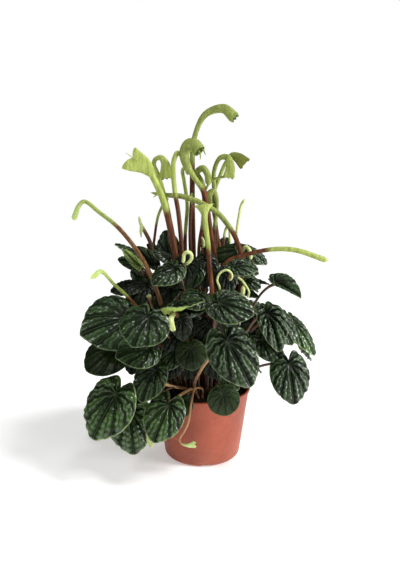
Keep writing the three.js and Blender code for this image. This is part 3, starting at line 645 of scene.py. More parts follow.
def blade_shell(at, tip, face, width, fold=0.0, curl=0.0, notch=1.0, point=1.0, ripple=1.0, grid=LEAF_GRID,
                seed=0):
    """The blade, both sides in one skin, over share s of the way out and angle a from the midrib.

    Height above the joint's plane = 4 bulge s (1 - s) + fold |sideways| + a slow wave s^2 cos(2a), cos(3a)
    + the ripple. The vein phase is p = a + bend s sin(a), so a line of equal p bends towards the tip. The
    ripple is |sin(n p / 2)|^1.15, a rounded ridge between two main veins, split in two by |sin(n p)| further
    out and broken along its length by a cosine of the distance. A curl lifts the margin on one side. The
    grid's columns crowd at the tip and at the notch.
    """
    joint, length, midrib, up, side = leaf_frame(at, tip, face)
    columns, rows = grid
    chance = np.random.default_rng(seed)
    even = np.linspace(-1, 1, columns + 1)
    angle = (pi * even - CROWDING * np.sin(tau * even))[None, :]
    out = np.linspace(0, 1, rows + 1)[1:]
    turn_over = np.array((pi / 4, pi / 2, 3 * pi / 4))
    share = np.concatenate((out, np.ones(3), out[::-1]))[:, None]
    facing = np.concatenate((np.ones(rows), np.cos(turn_over), -np.ones(rows)))[:, None]
    proud = np.concatenate((np.zeros(rows), np.sin(turn_over), np.zeros(rows)))[:, None]
    thickness = JOINT_THICKNESS + (EDGE_THICKNESS - JOINT_THICKNESS) * share

    reach = share * blade_edge(angle, length, width, NOTCH_DEPTH * notch, TIP_DRAW * point)
    wander = VEIN_WANDER * np.cos(0.8 * reach + 3 * angle + chance.uniform(0, tau))
    phase = angle + np.sin(angle) * (VEIN_BEND * share + wander)
    ridge = np.abs(np.sin(VEINS * phase / 2)) ** RIDGE_ROUND
    split = np.abs(np.sin(VEINS * phase)) ** RIDGE_ROUND
    branch = 0.5 * smooth(share, *BRANCHING)
    across = (1 - branch) * ridge + branch * split
    ridge_number = np.floor(2 * VEINS * phase / tau + 1e-9).astype(int) % (2 * VEINS)
    swell_phase = chance.uniform(0, tau, 2 * VEINS)[ridge_number]
    reach = reach * (1 + SCALLOP * ripple * share ** 4 * (across - RELIEF_LEVEL))
    swell = np.cos(tau * reach / QUILT_PITCH + swell_phase) * split * smooth(share, 0.2, 0.5)
    depth = ripple * RIPPLE * length * smooth(share, 0.02, 0.35) * (1 - 0.4 * share ** 5)
    relief = depth * (across + QUILT_DEPTH * swell - RELIEF_LEVEL)
    reach = reach + proud * thickness / 2
    sideways = reach * np.sin(angle)
    first, second = chance.uniform(0, tau, 2)
    wave = SLOW_WAVE * length * share ** 2 * (np.cos(2 * angle + first) + 0.6 * np.cos(3 * angle + second))
    lifted = abs(curl) * length * smooth(share, 0.5, 1.05) * np.maximum(np.sign(curl) * np.sin(angle), 0)
    level = (BULGE * length * 4 * share * (1 - share) + fold * np.abs(sideways) + wave + lifted + relief
             + facing * thickness / 2)
    rings = (joint + (reach * np.cos(angle))[..., None] * midrib + sideways[..., None] * side
             + level[..., None] * up)
    beyond = np.concatenate((out, 1 + 0 * turn_over, 2 - out[::-1]))[:, None]
    uv = np.stack(np.broadcast_arrays(phase / tau + 0.5, beyond), -1)
    top, bottom = joint + up * JOINT_THICKNESS / 2, joint - up * JOINT_THICKNESS / 2
    return shell(rings[:, :-1], top, bottom, uv)


def gaps(line):
    """The distance from each point of a line to the next."""
    return np.linalg.norm(np.diff(line, axis=0), axis=1)


def distance_along(line):
    """How far along a line of points each of them is."""
    return np.concatenate(([0], np.cumsum(gaps(line))))


def follow(line, distances):
    """The points at those distances along a line of close points, and the direction of the line there."""
    gone = distance_along(line)
    points = np.stack([np.interp(distances, gone, line[:, axis]) for axis in range(3)], -1)
    return points, unit(np.gradient(points, axis=0))


def turned_out(along):
    """For each direction of a line, the direction square to it that looks most to the plant's front, -Y."""
    facing = np.array((0.0, -1.0, 0.0))
    return unit(facing - (along @ facing)[:, None] * along)


def round_stem(line, distances, radius, sides, uv_along):
    """A round section carried along a line, with one radius for each distance, and its ends closed."""
    centres, along = follow(line, distances)
    out = turned_out(along)
    across = np.cross(along, out)
    angle = np.arange(sides) / sides * tau
    rings = (centres[:, None] + radius[:, None, None]
             * (np.cos(angle)[:, None] * across[:, None] + np.sin(angle)[:, None] * out[:, None]))
    uv = np.stack(np.broadcast_arrays(np.linspace(0, 1, sides + 1)[None], uv_along[:, None]), -1)
    return shell(rings, centres[0], centres[-1] + along[-1] * radius[-1] * 0.4, uv)


def root_on_crown(x, y):
    """Where a stalk leaves the crown, a clearance above its surface."""
    foot = np.array((x, y, float(crown_top(np.hypot(x, y)))))
    return foot + CLEARANCE * crown_normal(x, y)


def curve_through(points):
    """A centripetal Catmull-Rom curve: cubic pieces whose knots are the root of each gap apart."""
    points = np.array(points, float)
    ends = np.concatenate(([2 * points[0] - points[1]], points, [2 * points[-1] - points[-2]]))
    knots = np.sum(np.diff(ends, axis=0) ** 2, axis=1)[:, None] ** 0.25
    before, here, there, after = ends[:-3], ends[1:-2], ends[2:-1], ends[3:]
    d0, d1, d2 = knots[:-2], knots[1:-1], knots[2:]
    leave = ((here - before) / d0 - (there - before) / (d0 + d1) + (there - here) / d1) * d1
    arrive = ((there - here) / d1 - (after - here) / (d1 + d2) + (after - there) / d2) * d1
    t = np.linspace(0, 1, CURVE_STEPS, endpoint=False)[None, :, None]
    here, there, leave, arrive = here[:, None], there[:, None], leave[:, None], arrive[:, None]
    line = (here + leave * t + (3 * (there - here) - 2 * leave - arrive) * t ** 2
            + (2 * (here - there) + leave + arrive) * t ** 3)
    return np.concatenate((line.reshape(-1, 3), points[-1:]))


def petiole_line(at, tip, face, swing=0.0, ring=None, root=None, via=None):
    """The stalk's middle line, off the crown along its normal and into the blade from below.

    It is a cubic Bezier curve, or a curve through the places it passes where it lies in sight.
    """
    joint, _, midrib, up, _ = leaf_frame(at, tip, face)
    azimuth = np.arctan2(at[1], at[0]) + swing
    distance = ring or (OUTER_RING if at[2] < INNER_RING_HEIGHT else INNER_RING)
    foot = root_on_crown(*(root or (distance * np.cos(azimuth), distance * np.sin(azimuth))))
    end = joint - STALK_SINK * up
    if via:
        return curve_through([foot, *via, end])
    outward = unit((joint - foot) * (1, 1, 0))
    arrive = unit(0.4 * outward + 0.6 * up + 0.2 * midrib)
    span = float(np.linalg.norm(joint - foot))
    corners = (foot, foot + 0.45 * span * crown_normal(*foot[:2]), end - 0.25 * span * arrive, end)
    t = np.linspace(0, 1, 80)[:, None]
    weights = ((1 - t) ** 3, 3 * t * (1 - t) ** 2, 3 * t ** 2 * (1 - t), t ** 3)
    return sum(weight * corner for weight, corner in zip(weights, corners))


def petiole_shell(line, thickness):
    """A fleshy stalk, a little stouter where it leaves the crown and where it spreads into the blade."""
    share = np.linspace(0, 1, PETIOLE_ROWS)
    radius = thickness * (1.0 + 0.4 * np.exp(-share / 0.05) + 0.35 * np.exp(-(1 - share) / 0.04))
    return round_stem(line, share * float(gaps(line).sum()), radius, PETIOLE_SIDES, share)


def own_map(tree):
    """The two numbers of the piece's own map: round or across it, and along it."""
    split = tree.nodes.new("ShaderNodeSeparateXYZ")
    node = tree.nodes.new("ShaderNodeUVMap")
    node.uv_map = "UVMap"
    tree.links.new(node.outputs["UV"], split.inputs[0])
    return split.outputs["X"], split.outputs["Y"]


def make_leaf_finish(name, deep, middle, crest_highlight, vein, margin, wax, under):
    """A waxy green blade from its own map: u is the vein phase, v goes out over the top and back beneath.

    The valleys by the veins are deep, a painted shade, and the ridges are lighter and palest along their
    crests, a painted highlight. The veins show as hair lines, and the margin is a thin pale rim of painted
    light through the thin edge. wax is how much of the crests' coat is there, and under takes the dull
    underside towards a bright yellow-green.
    """
    material, tree, shader, place = new_finish(name)
    vein_phase, over = own_map(tree)
    phase = calc(tree, "MULTIPLY", calc(tree, "SUBTRACT", vein_phase, 0.5), VEINS * pi)
    across = calc(tree, "ABSOLUTE", calc(tree, "SINE", phase))
    branched = calc(tree, "ABSOLUTE", calc(tree, "SINE", calc(tree, "MULTIPLY", phase, 2)))
    share = calc(tree, "SUBTRACT", 1.0, calc(tree, "ABSOLUTE", calc(tree, "SUBTRACT", over, 1.0)))
    beneath = rise(tree, over, 1.005, 1.04)
    cloud = mottle(tree, place, 70)
    outer = rise(tree, share, 0.35, 0.6)
    height = calc(tree, "MULTIPLY_ADD", calc(tree, "MULTIPLY", branched, outer), 0.45, across)
    # Painted shade and light of the relief: valleys dark, ridges light, mixed with random tone; below, the
    # blade also darkens towards the joint.
    relief_light_and_tone = calc(tree, "MULTIPLY_ADD", cloud, 0.5, calc(tree, "MULTIPLY", height, 0.5))
    body = rise(tree, calc(tree, "MULTIPLY", relief_light_and_tone, rise(tree, share, -0.1, 0.35)), 0.25, 1.1)
    green = between(tree, body, deep, middle)
    patchy = calc(tree, "MULTIPLY_ADD", cloud, 0.7, 0.15)
    # A painted highlight: a pale line along the crest of each ridge.
    ridge = calc(tree, "MULTIPLY", rise(tree, height, 0.95, 1.4), patchy)
    with_crest_highlight = between(tree, ridge, green, crest_highlight)
    line = calc(tree, "SUBTRACT", 1.0, rise(tree, calc(tree, "MULTIPLY", across, share), 0.01, 0.09))
    veined = between(tree, calc(tree, "MULTIPLY", line, 0.35), with_crest_highlight, vein)
    # The pale rim is painted light: the glow of light through the thin margin.
    fleck = calc(tree, "MULTIPLY_ADD", mottle(tree, place, 240), 0.03, share)
    rim = calc(tree, "MULTIPLY", rise(tree, fleck, 0.99, 1.015), 0.55)
    edged = between(tree, rim, veined, margin)
    pale = between(tree, calc(tree, "MULTIPLY", line, 0.6), shade(118, 138, 80), shade(154, 166, 110))
    dappled = between(tree, calc(tree, "MULTIPLY", cloud, 0.35), pale, shade(88, 108, 58))
    back = between(tree, under, dappled, shade(168, 190, 100))
    gloss = calc(tree, "MULTIPLY_ADD", mottle(tree, place, 120), 0.14, 0.36)
    crest_wax = calc(tree, "SUBTRACT", wax, beneath)
    dress(tree, shader, {
        "Base Color": between(tree, beneath, edged, back),
        "Roughness": calc(tree, "MULTIPLY_ADD", beneath, 0.2, gloss),
        "Specular IOR Level": 0.16,
        "Coat Weight": calc(tree, "MULTIPLY", rise(tree, height, 0.4, 1.25), crest_wax, clamp=True),
        "Coat Roughness": 0.17,
    })
    cells = texture(tree, "Noise", place, Scale=700, Detail=2)
    roughen(tree, shader, cells.outputs["Fac"], 0.2, 0.0005)
    return material


# Every green: its valleys (a painted shade), its ridges, their crests (a painted highlight), the veins and
# the margin (a rim of painted light), then its wax and under. The shaded green is painted shade: a darker
# copy of the deep one, for the leaves inside the clump.
GREEN_COLOURS = {
    "deep": ((7, 14, 3), (26, 44, 15), (74, 100, 60), (84, 106, 68), (112, 130, 88), 0.7, 0.0),
    "glossy": ((9, 19, 3), (36, 62, 16), (84, 118, 54), (96, 122, 68), (132, 152, 96), 1.0, 0.0),
    "fresh": ((10, 22, 4), (40, 66, 20), (88, 120, 62), (106, 132, 80), (158, 176, 120), 1.0, 0.0),
    "dull": ((14, 23, 6), (32, 48, 15), (46, 62, 26), (64, 80, 42), (84, 100, 56), 0.1, 0.0),
    # Painted shade: the deep green darkened for leaves that lie in the clump's shadow.
    "shaded": ((5, 10, 3), (15, 25, 9), (32, 46, 25), (40, 52, 30), (62, 76, 48), 0.2, 0.0),
    "edged": ((7, 14, 3), (26, 44, 15), (74, 100, 60), (84, 106, 68), (150, 172, 104), 0.7, 1.0),
    "olive": ((40, 52, 16), (92, 112, 44), (140, 160, 78), (150, 164, 90), (176, 190, 110), 0.3, 0.0),
}
GREENS = {}
for name, (*colours, wax, under) in GREEN_COLOURS.items():
    GREENS[name] = make_leaf_finish("leaf_" + name, *[shade(*colour) for colour in colours], wax, under)


def make_stalk_finish(name, base, top, flush):
    """A fleshy stalk: one colour at the crown turns into another at the blade, with a flush and fine dots."""
    material, tree, shader, place = new_finish(name)
    along = between(tree, rise(tree, own_map(tree)[1], 0.1, 0.9), base, top)
    flushed = between(tree, calc(tree, "MULTIPLY", mottle(tree, place, 110), 0.6), along, flush)
    dots = texture(tree, "Voronoi", place, Scale=900)
    dotted = calc(tree, "MULTIPLY", rise(tree, dots.outputs["Distance"], 0.45, 0.1), 0.25)
    dress(tree, shader, {
        "Base Color": between(tree, dotted, flushed, shade(214, 190, 150)),
        "Roughness": 0.42,
        "Subsurface Weight": 0.12,
        "Subsurface Radius": (1.0, 0.5, 0.25),
        "Subsurface Scale": 0.0015,
    })
    roughen(tree, shader, dots.outputs["Distance"], 0.15, 0.0003)
    return material


tan_stalk = make_stalk_finish("petiole_tan", shade(184, 140, 98), shade(196, 160, 116), shade(160, 112, 76))
# The brown stalk is painted shade: darker than the tan, darkest at the crown, for stalks inside the clump.
shaded_stalk = make_stalk_finish("petiole_painted_shade", shade(38, 24, 16), shade(108, 78, 52), shade(74, 46, 32))
BLADE_SAMPLE = 37
LINE_SAMPLE = 8
occupied = []


def grow_leaf(piece, at, tip, face, width, thickness, stands_for=(), green="deep", swing=0.0, ring=None,
              root=None, via=None, **shape):
    """One leaf as one piece, blade and stalk, tan where it lies in sight, else painted dark brown as shade:
    its blade and line.
    """
    blade = blade_shell(at, tip, face, width, **shape)
    line = petiole_line(at, tip, face, swing, ring, root, via)
    add_piece(piece, [(blade, 0), (petiole_shell(line, thickness), 1)],
              [GREENS[green], tan_stalk if via else shaded_stalk], "leaf", *stands_for)
    return blade[0], line


for number, (name, at, tip, face, width, extra) in enumerate(LEAVES):
    thickness = SEEN_PETIOLE_RADIUS if "via" in extra else PETIOLE_RADIUS
    blade, line = grow_leaf("blade_" + name, at, tip, face, width, thickness, ["leaf_" + name], seed=number,
                            **extra)
    occupied += [blade[::BLADE_SAMPLE], line[LINE_SAMPLE::LINE_SAMPLE]]

# The flower spikes -----------------------------------------------------------------------------------------
# Each spike grew as one fleshy rod: a smooth red-brown stalk that turns lime green where hundreds of tiny
# flowers sit on it as fine bumps. Some ends have flattened into fans, hoods and hooks.
SPIKE_SIDES = 28
STALK_STEP = 2.5
SPIKE_STEP = 0.5
FLOWER_ROWS = 7
FLOWER_PITCH = 1.7
FLOWER_HEIGHT = 0.13
LIME_BLEND = 9.0
ROOT_RISE = 12.0
ROOT_SWELL = 0.5
ROOT_SWELL_REACH = 3.0
BLUNT_END = 1.6
SLIM_END = 30.0
THIN_FAN = 1.5
PLEATS = 9
PLEAT_DEPTH = 0.12
CUP_INWARD = np.array((0.04, 0.3, 0.65, 1.0))
CUP_NARROW = np.array((0.86, 0.78, 0.6, 0.3))
CUP_SHADE = 1.6
POINT_SIDES = 10
BRACT_ROWS = 24
# The rib's colour, 1.15, takes it a little towards the cup's dark: a painted shade along it.
RIB = dict(radius=1.1, rows=50, colour=1.15, blunt=0.05)
RIB_RISE = 0.5
RIB_RUN = 6.0

# Every spike: its name, its root on the crown, the radius of its stalk and of the spike, the place along the
# path, counted in its points, where the lime begins, and the places it passes. A fan's half width, where it
# begins, its half thickness, how it flares, curls, leans and hollows out, how far its lobes and its two
# corners (tail) reach, the rib that runs past it and how it darkens are in `fan`.
SPIKES = [
    ("tall", (-3, 3), 2.4, 2.3, 2.35, [(-7, 6, 140), (-8, 8, 185), (-9, 16, 255), (-7, 18, 293),
     (3, 16, 313), (19, 10, 317), (27, 6, 310)],
     dict(fan=dict(width=5, start=0.84, thick=2.2, flare=1.4, lobes=3, reach=3.5, cup=3), flowers=0.15)),
    ("hooded", (7, -3), 2.2, 2.5, 3.2, [(11, -4, 140), (12, -4, 183), (8, 0, 206), (1, 2, 245),
     (-7, 0, 257), (-14, -4, 269), (-15.5, -6, 278), (-12, -9, 284.5), (-7, -13, 284.5),
     (-3, -16.5, 279.5)],
     dict(fan=dict(width=5.6, start=0.83, thick=3.8, flare=0.55, lobes=3, reach=1.6, cup=6), flowers=0.15,
     bracts=[[(-5, -15, 280), (-2.8, -19, 278.5), (-1.6, -20.5, 275), (-2, -20.5, 271.5)], [(-3, -14, 281),
     (0.5, -18, 280), (2.8, -20, 275.5)]])),
    ("fan_left", (-9, -9), 3, 2.8, 2.0, [(-17, -16, 140), (-23, -20, 188), (-31, -18, 229), (-38, -18, 249),
     (-47, -20, 265), (-58, -24, 273)],
     dict(fan=dict(width=10.5, start=0.9, thick=0.9, flare=0.8, lobes=2, reach=2.2, tail=2.6, lean=-0.2,
     rib=7))),
    ("hook_behind_fan", (-13, 1), 1.8, 2.0, 2.0, [(-20, 0, 150), (-25, 0, 190), (-30, 3, 225),
     (-33, 4, 238), (-36, 5, 249), (-39.5, 5, 260), (-43, 5, 268.5), (-41.5, 4, 273), (-37, 3, 274.5),
     (-33, 1, 270), (-31.5, -1, 259)],
     dict(fan=dict(width=6.2, start=0.91, thick=1.6, lobes=3, reach=3.5, cup=3))),
    ("slender", (-11, -4), 1.9, 2.1, 2.8, [(-17, -9, 140), (-18, -12, 193), (-21, -12, 228),
     (-24, -10, 246), (-25, -6, 270), (-22, -3, 278), (-20, 3, 277)], {}),
    ("t_top", (2, -12), 2, 2.2, 3.0, [(6, -30, 130), (8, -38, 161), (6, -36, 183), (5, -34, 199),
     (3, -32, 215), (1, -30, 234.5)],
     dict(fan=dict(width=9, start=0.89, thick=2.2, flare=4, lobes=0, curl=-0.08), flowers=1.3)),
    ("long_arc", (13, -7), 1.9, 2.6, 2.9, [(29, -20, 140), (35, -20, 182), (30, -15, 203), (24, -12, 214),
     (14, -8, 226), (3, -6, 233), (-8, -4, 238), (-19, -3, 241), (-33, -4, 242), (-45, -4, 244)],
     dict(taper=0.65, flowers=1.8, bracts=[[(-31, -4, 243), (-38, -6, 243), (-43, -8, 240)]])),
    ("double_hook", (2, 12), 1.8, 3.0, 2.0, [(3, 16, 140), (3, 16, 200), (2, 15, 242), (-1, 14, 254),
     (-5, 12, 261.5), (0.5, 9, 265.5), (5, 7, 259), (5, 6, 251)], {}),
    ("big_hook", (8, 17), 1.9, 2, 1.6, [(12, 22, 140), (13, 21, 200), (11, 14, 244), (11, 12, 264),
     (16, 9, 274.5), (22.5, 5, 274.5), (24.8, 1, 266.5), (23.5, -1, 258.5)],
     dict(fan=dict(width=5, start=0.88, lobes=3, reach=2.5, cup=3))),
    ("leafy_end", (14, 14), 1.8, 1.8, 3.6, [(18, 20, 140), (19.5, 22, 178), (15.5, 27.5, 198),
     (12, 28, 220), (9.5, 27, 237), (12.2, 26, 248), (16.6, 26, 259), (21.5, 26, 270.5), (27, 22, 277),
     (33, 19, 275), (38, 17, 270.5)],
     dict(fan=dict(width=6.2, start=0.93, thick=0.7, flare=0.7, lobes=3, reach=1.6, tail=1.0,
     darkens=0.6))),
    ("small_hook", (9, 6), 1.7, 1.8, 2.3, [(14, 7, 140), (14, 9, 180), (11, 12, 206), (13, 12, 227),
     (13, 11, 238), (10, 9.5, 245), (6, 8, 242), (5, 8, 236)],
     dict(fan=dict(width=4, start=0.88, lobes=2, reach=2, cup=2))),
    ("left_hook", (-5, 11), 1.7, 1.7, 1.2, [(-13, 20, 140), (-16, 24, 200), (-14, 25, 233), (-17, 24, 256),
     (-18, 21, 264), (-15, 17, 266), (-13, 15, 260)], {}),
    ("back_left", (-15, 7), 1.3, 1.2, 2.6, [(-32, 12, 140), (-45, 16, 191), (-44, 16, 204), (-40, 14, 224),
     (-33, 12, 238)],
     dict(fan=dict(width=2.4, start=0.95, lobes=2, reach=2))),
    ("left_drop", (-18, 5), 1.3, 2.2, 2.5, [(-38, 6, 150), (-47, 6, 198), (-52.5, 5, 210), (-55.5, 4, 216),
     (-57, 4, 223)],
     dict(taper=0.75, bracts=[[(-54, 4, 215), (-55.2, 3.5, 211), (-55.4, 3.5, 207), (-55.2, 3.5, 204)]],
     bract_radius=1.9)),
    ("long_left", (-13, -14), 2, 1.6, 4.2, [(-26, -34, 112), (-35, -44, 154), (-44, -46, 180),
     (-53, -44, 196), (-70, -38, 216), (-86, -32, 228), (-99, -29, 237), (-103, -30, 234),
     (-107, -32, 224)],
     dict(fan=dict(width=2.5, start=0.92, thick=1.1, lobes=1, reach=2.5, darkens=0.4), flowers=0.8)),
    ("small_left", (-17, -10), 1.4, 1.4, 2.1, [(-42, -20, 120), (-54, -20, 140), (-65, -27, 155.5),
     (-74.5, -42, 169.5), (-83, -50, 181), (-87.5, -53, 178)],
     dict(fan=dict(width=2.3, start=0.88, thick=0.6, lobes=1, reach=4.5, curl=0.06, darkens=0.6),
     flowers=0.3)),
    ("long_right", (9, -12), 1.25, 2.3, 4.0, [(13, -26, 130), (12, -27, 165), (21, -28, 186),
     (33, -30, 191), (56, -34, 197), (77, -36, 197), (105, -36, 188)],
     dict(flowers=2.2)),
    ("right_thin", (18, 4), 1.3, 1.3, 1.2, [(27, 12, 140), (31, 14, 200), (34, 14, 223), (36, 14, 233),
     (39, 12, 238)], {}),
    ("young_stem_trailing", (0, -24), 0.9, 0.9, 5.3, [(-6, -36, 75), (-9, -50, 70), (-12, -51, 50),
     (-16, -50, 41), (-20, -49, 33), (-17.5, -50.5, 30), (-12, -51, 29), (-7.5, -51, 29.5)],
     dict(fan=dict(width=3.2, start=0.9, thick=0.6, lobes=2, reach=2.2, curl=-0.06), flowers=0.2)),
]


def fan_lobes(across, lobes):
    """The outline of a fan's end: |sin| humps, one for each lobe, from one edge (-1) to the other (1)."""
    return np.abs(np.sin(lobes * pi * (across + 1) / 2)) ** 0.6


def pointed_stem(line, radius, rows, colour=1.0, blunt=0.04):
    """A thin pointed shoot along a line: its radius falls as the square root of the way left to the tip."""
    reach = np.linspace(0, float(gaps(line).sum()), rows)
    slim = radius * np.sqrt(np.clip(1.02 - reach / reach[-1], blunt, 1))
    return round_stem(line, reach, slim, POINT_SIDES, np.full(rows, colour))


def spike_shells(root, path, stalk, spike, lime, fan=None, taper=1.0, flowers=1.0, bracts=(),
                 bract_radius=1.1, sides=SPIKE_SIDES):
    """A spike's skin, an oval carried along its curve, and the skins of its rib and bracts.

    With share s of the length, the radius is stalk + (spike - stalk) s^2, swells at the root and rises over
    each flower as cos(rows a) cos(2 pi d / pitch). In a fan the oval goes to width and thickness, each edge
    bends by curl times the square of its place, and the end reaches out in lobes and is hollowed by the cup.
    The own map's v is 0 on the stalk, 1 on the spike and more on a darkened fan and in a cup, whose inside
    is painted dark as its shade.
    """
    fan = fan or {}
    start = root_on_crown(*root)
    lift = start + ROOT_RISE * crown_normal(*root)
    line = curve_through([start, lift, *path])
    gone = distance_along(line)
    length = gone[-1]
    lime_at = np.interp((lime + 2) * CURVE_STEPS, np.arange(len(gone)), gone)
    stalk_rows, spike_rows = np.arange(0, lime_at, STALK_STEP), np.arange(lime_at, length, SPIKE_STEP)
    distances = np.concatenate((stalk_rows, spike_rows, [length]))
    centres, along = follow(line, distances)
    out = turned_out(along)
    across = np.cross(along, out)
    share = distances / length
    flowering = smooth(distances, lime_at - LIME_BLEND, lime_at + LIME_BLEND)
    swell = ROOT_SWELL * stalk * np.exp(-distances / ROOT_SWELL_REACH)
    radius = stalk + (spike - stalk) * share ** 2 + swell
    angle = np.arange(sides) / sides * tau
    place = np.cos(angle)
    opened = np.zeros_like(share)
    ends = np.zeros((len(share), sides))
    if fan:
        opened = np.clip((share - fan["start"]) / (1 - fan["start"]), 0, 1)
        half_thickness = fan.get("thick", 1.0)
        wide = radius + (fan["width"] - radius) * opened ** fan.get("flare", 1.2)
        thick = radius + (half_thickness - radius) * opened ** 0.7
        thick = thick * (1 - 0.75 * opened ** 6 * (half_thickness < THIN_FAN))
        lobes = fan_lobes(place, fan.get("lobes", 2)) * fan.get("reach", 2)
        lobes = lobes + fan.get("tail", 0) * np.abs(place) ** 1.3
        place = place * (1 + fan.get("lean", 0.0) * opened[:, None] * place)
        ends = opened[:, None] ** 3 * lobes
    else:
        left = np.clip((length - distances) / (spike * BLUNT_END), 0, 1)
        blunt = np.sqrt(np.maximum(1 - (1 - left) ** 2, 0.02))
        slim = np.clip((length - distances) / SLIM_END, 0, 1) ** (1 - taper)
        wide = thick = radius * blunt * (slim if taper < 1 else 1)
    rows = np.cos(tau * distances / FLOWER_PITCH)[:, None]
    bumps = flowers * FLOWER_HEIGHT * np.cos(FLOWER_ROWS * angle) * rows
    bumps = bumps * (flowering * (1 - smooth(opened, 0.0, 0.5)))[:, None]
    curl = fan.get("curl", 0.0) * wide[:, None] * opened[:, None] * place ** 2 * 4
    pleats = PLEAT_DEPTH * opened[:, None] * np.cos(PLEATS * place)
    sideways = (wide[:, None] + bumps) * place
    outwards = (thick[:, None] + bumps + pleats) * np.sin(angle) + curl
    rings = (centres[:, None] + sideways[..., None] * across[:, None] + outwards[..., None] * out[:, None]
             + ends[..., None] * along[:, None])
    closing = None if fan else centres[-1] + along[-1] * 0.3 * spike
    colour = flowering + fan.get("darkens", 0.0) * opened ** 0.5
    cup = fan.get("cup", 0.0)
    if cup:
        mouth = sideways[-1][:, None] * across[-1] + outwards[-1][:, None] * out[-1]
        inner = (centres[-1] - along[-1] * cup * CUP_INWARD[:, None, None]
                 + CUP_NARROW[:, None, None] * mouth
                 + ((1 - CUP_INWARD)[:, None] * ends[-1])[..., None] * along[-1])
        rings = np.concatenate((rings, inner))
        # The cup's inner rings take the cup colour, a painted shade inside the hollow.
        colour = np.concatenate((colour, np.full(len(CUP_INWARD), CUP_SHADE)))
        closing = centres[-1] - along[-1] * cup
    uv = np.stack(np.broadcast_arrays(np.linspace(0, 1, sides + 1)[None], colour[:, None]), -1)
    shells = [(shell(rings, centres[0], closing, uv), 0)]
    if "rib" in fan:
        run = np.linspace(length * fan["start"] - RIB_RUN, length, 40)
        ridge, onward = follow(line, run)
        beyond = ridge[-1:] + onward[-1] * fan["rib"] + out[-1] * RIB_RISE
        ridge = np.concatenate((ridge + out[-1] * RIB_RISE, beyond))
        shells.append((pointed_stem(ridge, **RIB), 0))
    for bract in bracts:
        shells.append((pointed_stem(curve_through(bract), bract_radius, BRACT_ROWS), 0))
    return shells


def make_spike_finish(name, *colours):
    """Red-brown flesh turning lime, by v of the own map: 0 is the stalk, 1 the spike, 1.5 a cup's inside.

    The five colours are the stalk's dark and light streaks, the lime's dark and light ones, and the cup's:
    a painted shade inside the hollow ends, which also colours the darkened fans.
    """
    material, tree, shader, place = new_finish(name)
    stalk_low, stalk_high, lime_dark, lime_light, cup = (shade(*colour) for colour in colours)
    _, ripeness = own_map(tree)
    streaks = mottle(tree, stretched(tree, place, (1, 1, 0.12)), 420)
    red = between(tree, streaks, stalk_low, stalk_high)
    grains = texture(tree, "Voronoi", place, Scale=1050).outputs["Distance"]
    grain = calc(tree, "MULTIPLY", rise(tree, grains, 0.1, 0.6), 0.1)
    lime = between(tree, calc(tree, "MULTIPLY_ADD", streaks, 0.6, grain), lime_light, lime_dark)
    turning = calc(tree, "MULTIPLY_ADD", mottle(tree, place, 200), 0.3, ripeness)
    body = between(tree, rise(tree, turning, 0.3, 0.95), red, lime)
    # A cup's inside is painted dark, as the shade in its hollow.
    dress(tree, shader, {
        "Base Color": between(tree, rise(tree, ripeness, 1.05, 1.5), body, cup),
        "Roughness": 0.45,
        "Subsurface Weight": 0.15,
        "Subsurface Radius": (0.8, 1.0, 0.3),
        "Subsurface Scale": 0.0015,
        "Specular IOR Level": 0.22,
    })
    roughen(tree, shader, calc(tree, "MULTIPLY", grains, ripeness), 0.2, 0.0004)
    return material


red_lime = make_spike_finish("spike_red_to_lime", (60, 32, 18), (120, 68, 38), (106, 118, 42),
                             (186, 200, 108), (34, 44, 14))
red_olive = make_spike_finish("spike_red_to_olive", (60, 32, 18), (116, 64, 36), (78, 88, 32),
                              (166, 178, 94), (66, 92, 36))
green_lime = make_spike_finish("spike_red_to_green", (60, 32, 20), (112, 66, 42), (106, 120, 48),
                               (172, 188, 102), (112, 118, 50))
pale_lime = make_spike_finish("spike_brown_to_pale", (62, 42, 26), (112, 80, 52), (166, 178, 100),
                              (218, 226, 162), (90, 110, 50))
tan_lime = make_spike_finish("spike_tan_to_pale", (166, 118, 80), (192, 146, 104), (150, 178, 90),
                             (214, 226, 158), (90, 110, 50))
fresh_lime = make_spike_finish("spike_olive_to_lime", (70, 40, 20), (124, 86, 46), (100, 114, 46),
                               (166, 182, 98), (184, 202, 124))
FINISH_OF = {"young_stem_trailing": tan_lime, "leafy_end": green_lime}
FINISH_OF.update(dict.fromkeys(("small_left", "long_left"), fresh_lime))
FINISH_OF.update(dict.fromkeys(("right_thin", "left_drop"), pale_lime))
FINISH_OF.update(dict.fromkeys(("inner_red", "inner_brown"), red_lime))
FINISH_OF.update(dict.fromkeys(("tall", "hooded", "long_arc", "big_hook", "small_hook", "double_hook",
                                "back_left", "thin_arc"), red_olive))
SPIKE_SAMPLE = 31


def grow_spike(piece, finish, stands_for, root, stalk, spike, lime, path, extra, sides=SPIKE_SIDES):
    """One spike as one piece, with some points of its skin kept in `occupied`."""
    shells = spike_shells(root, path, stalk, spike, lime, sides=sides, **extra)
    add_piece(piece, shells, [finish], "spike", *stands_for)
    occupied.append(shells[0][0][0][::SPIKE_SAMPLE])


for name, *growth in SPIKES:
    node = name if name.startswith("young") else "spike_" + name
    grow_spike("flower_" + name, FINISH_OF.get(name, red_lime), [node], *growth)
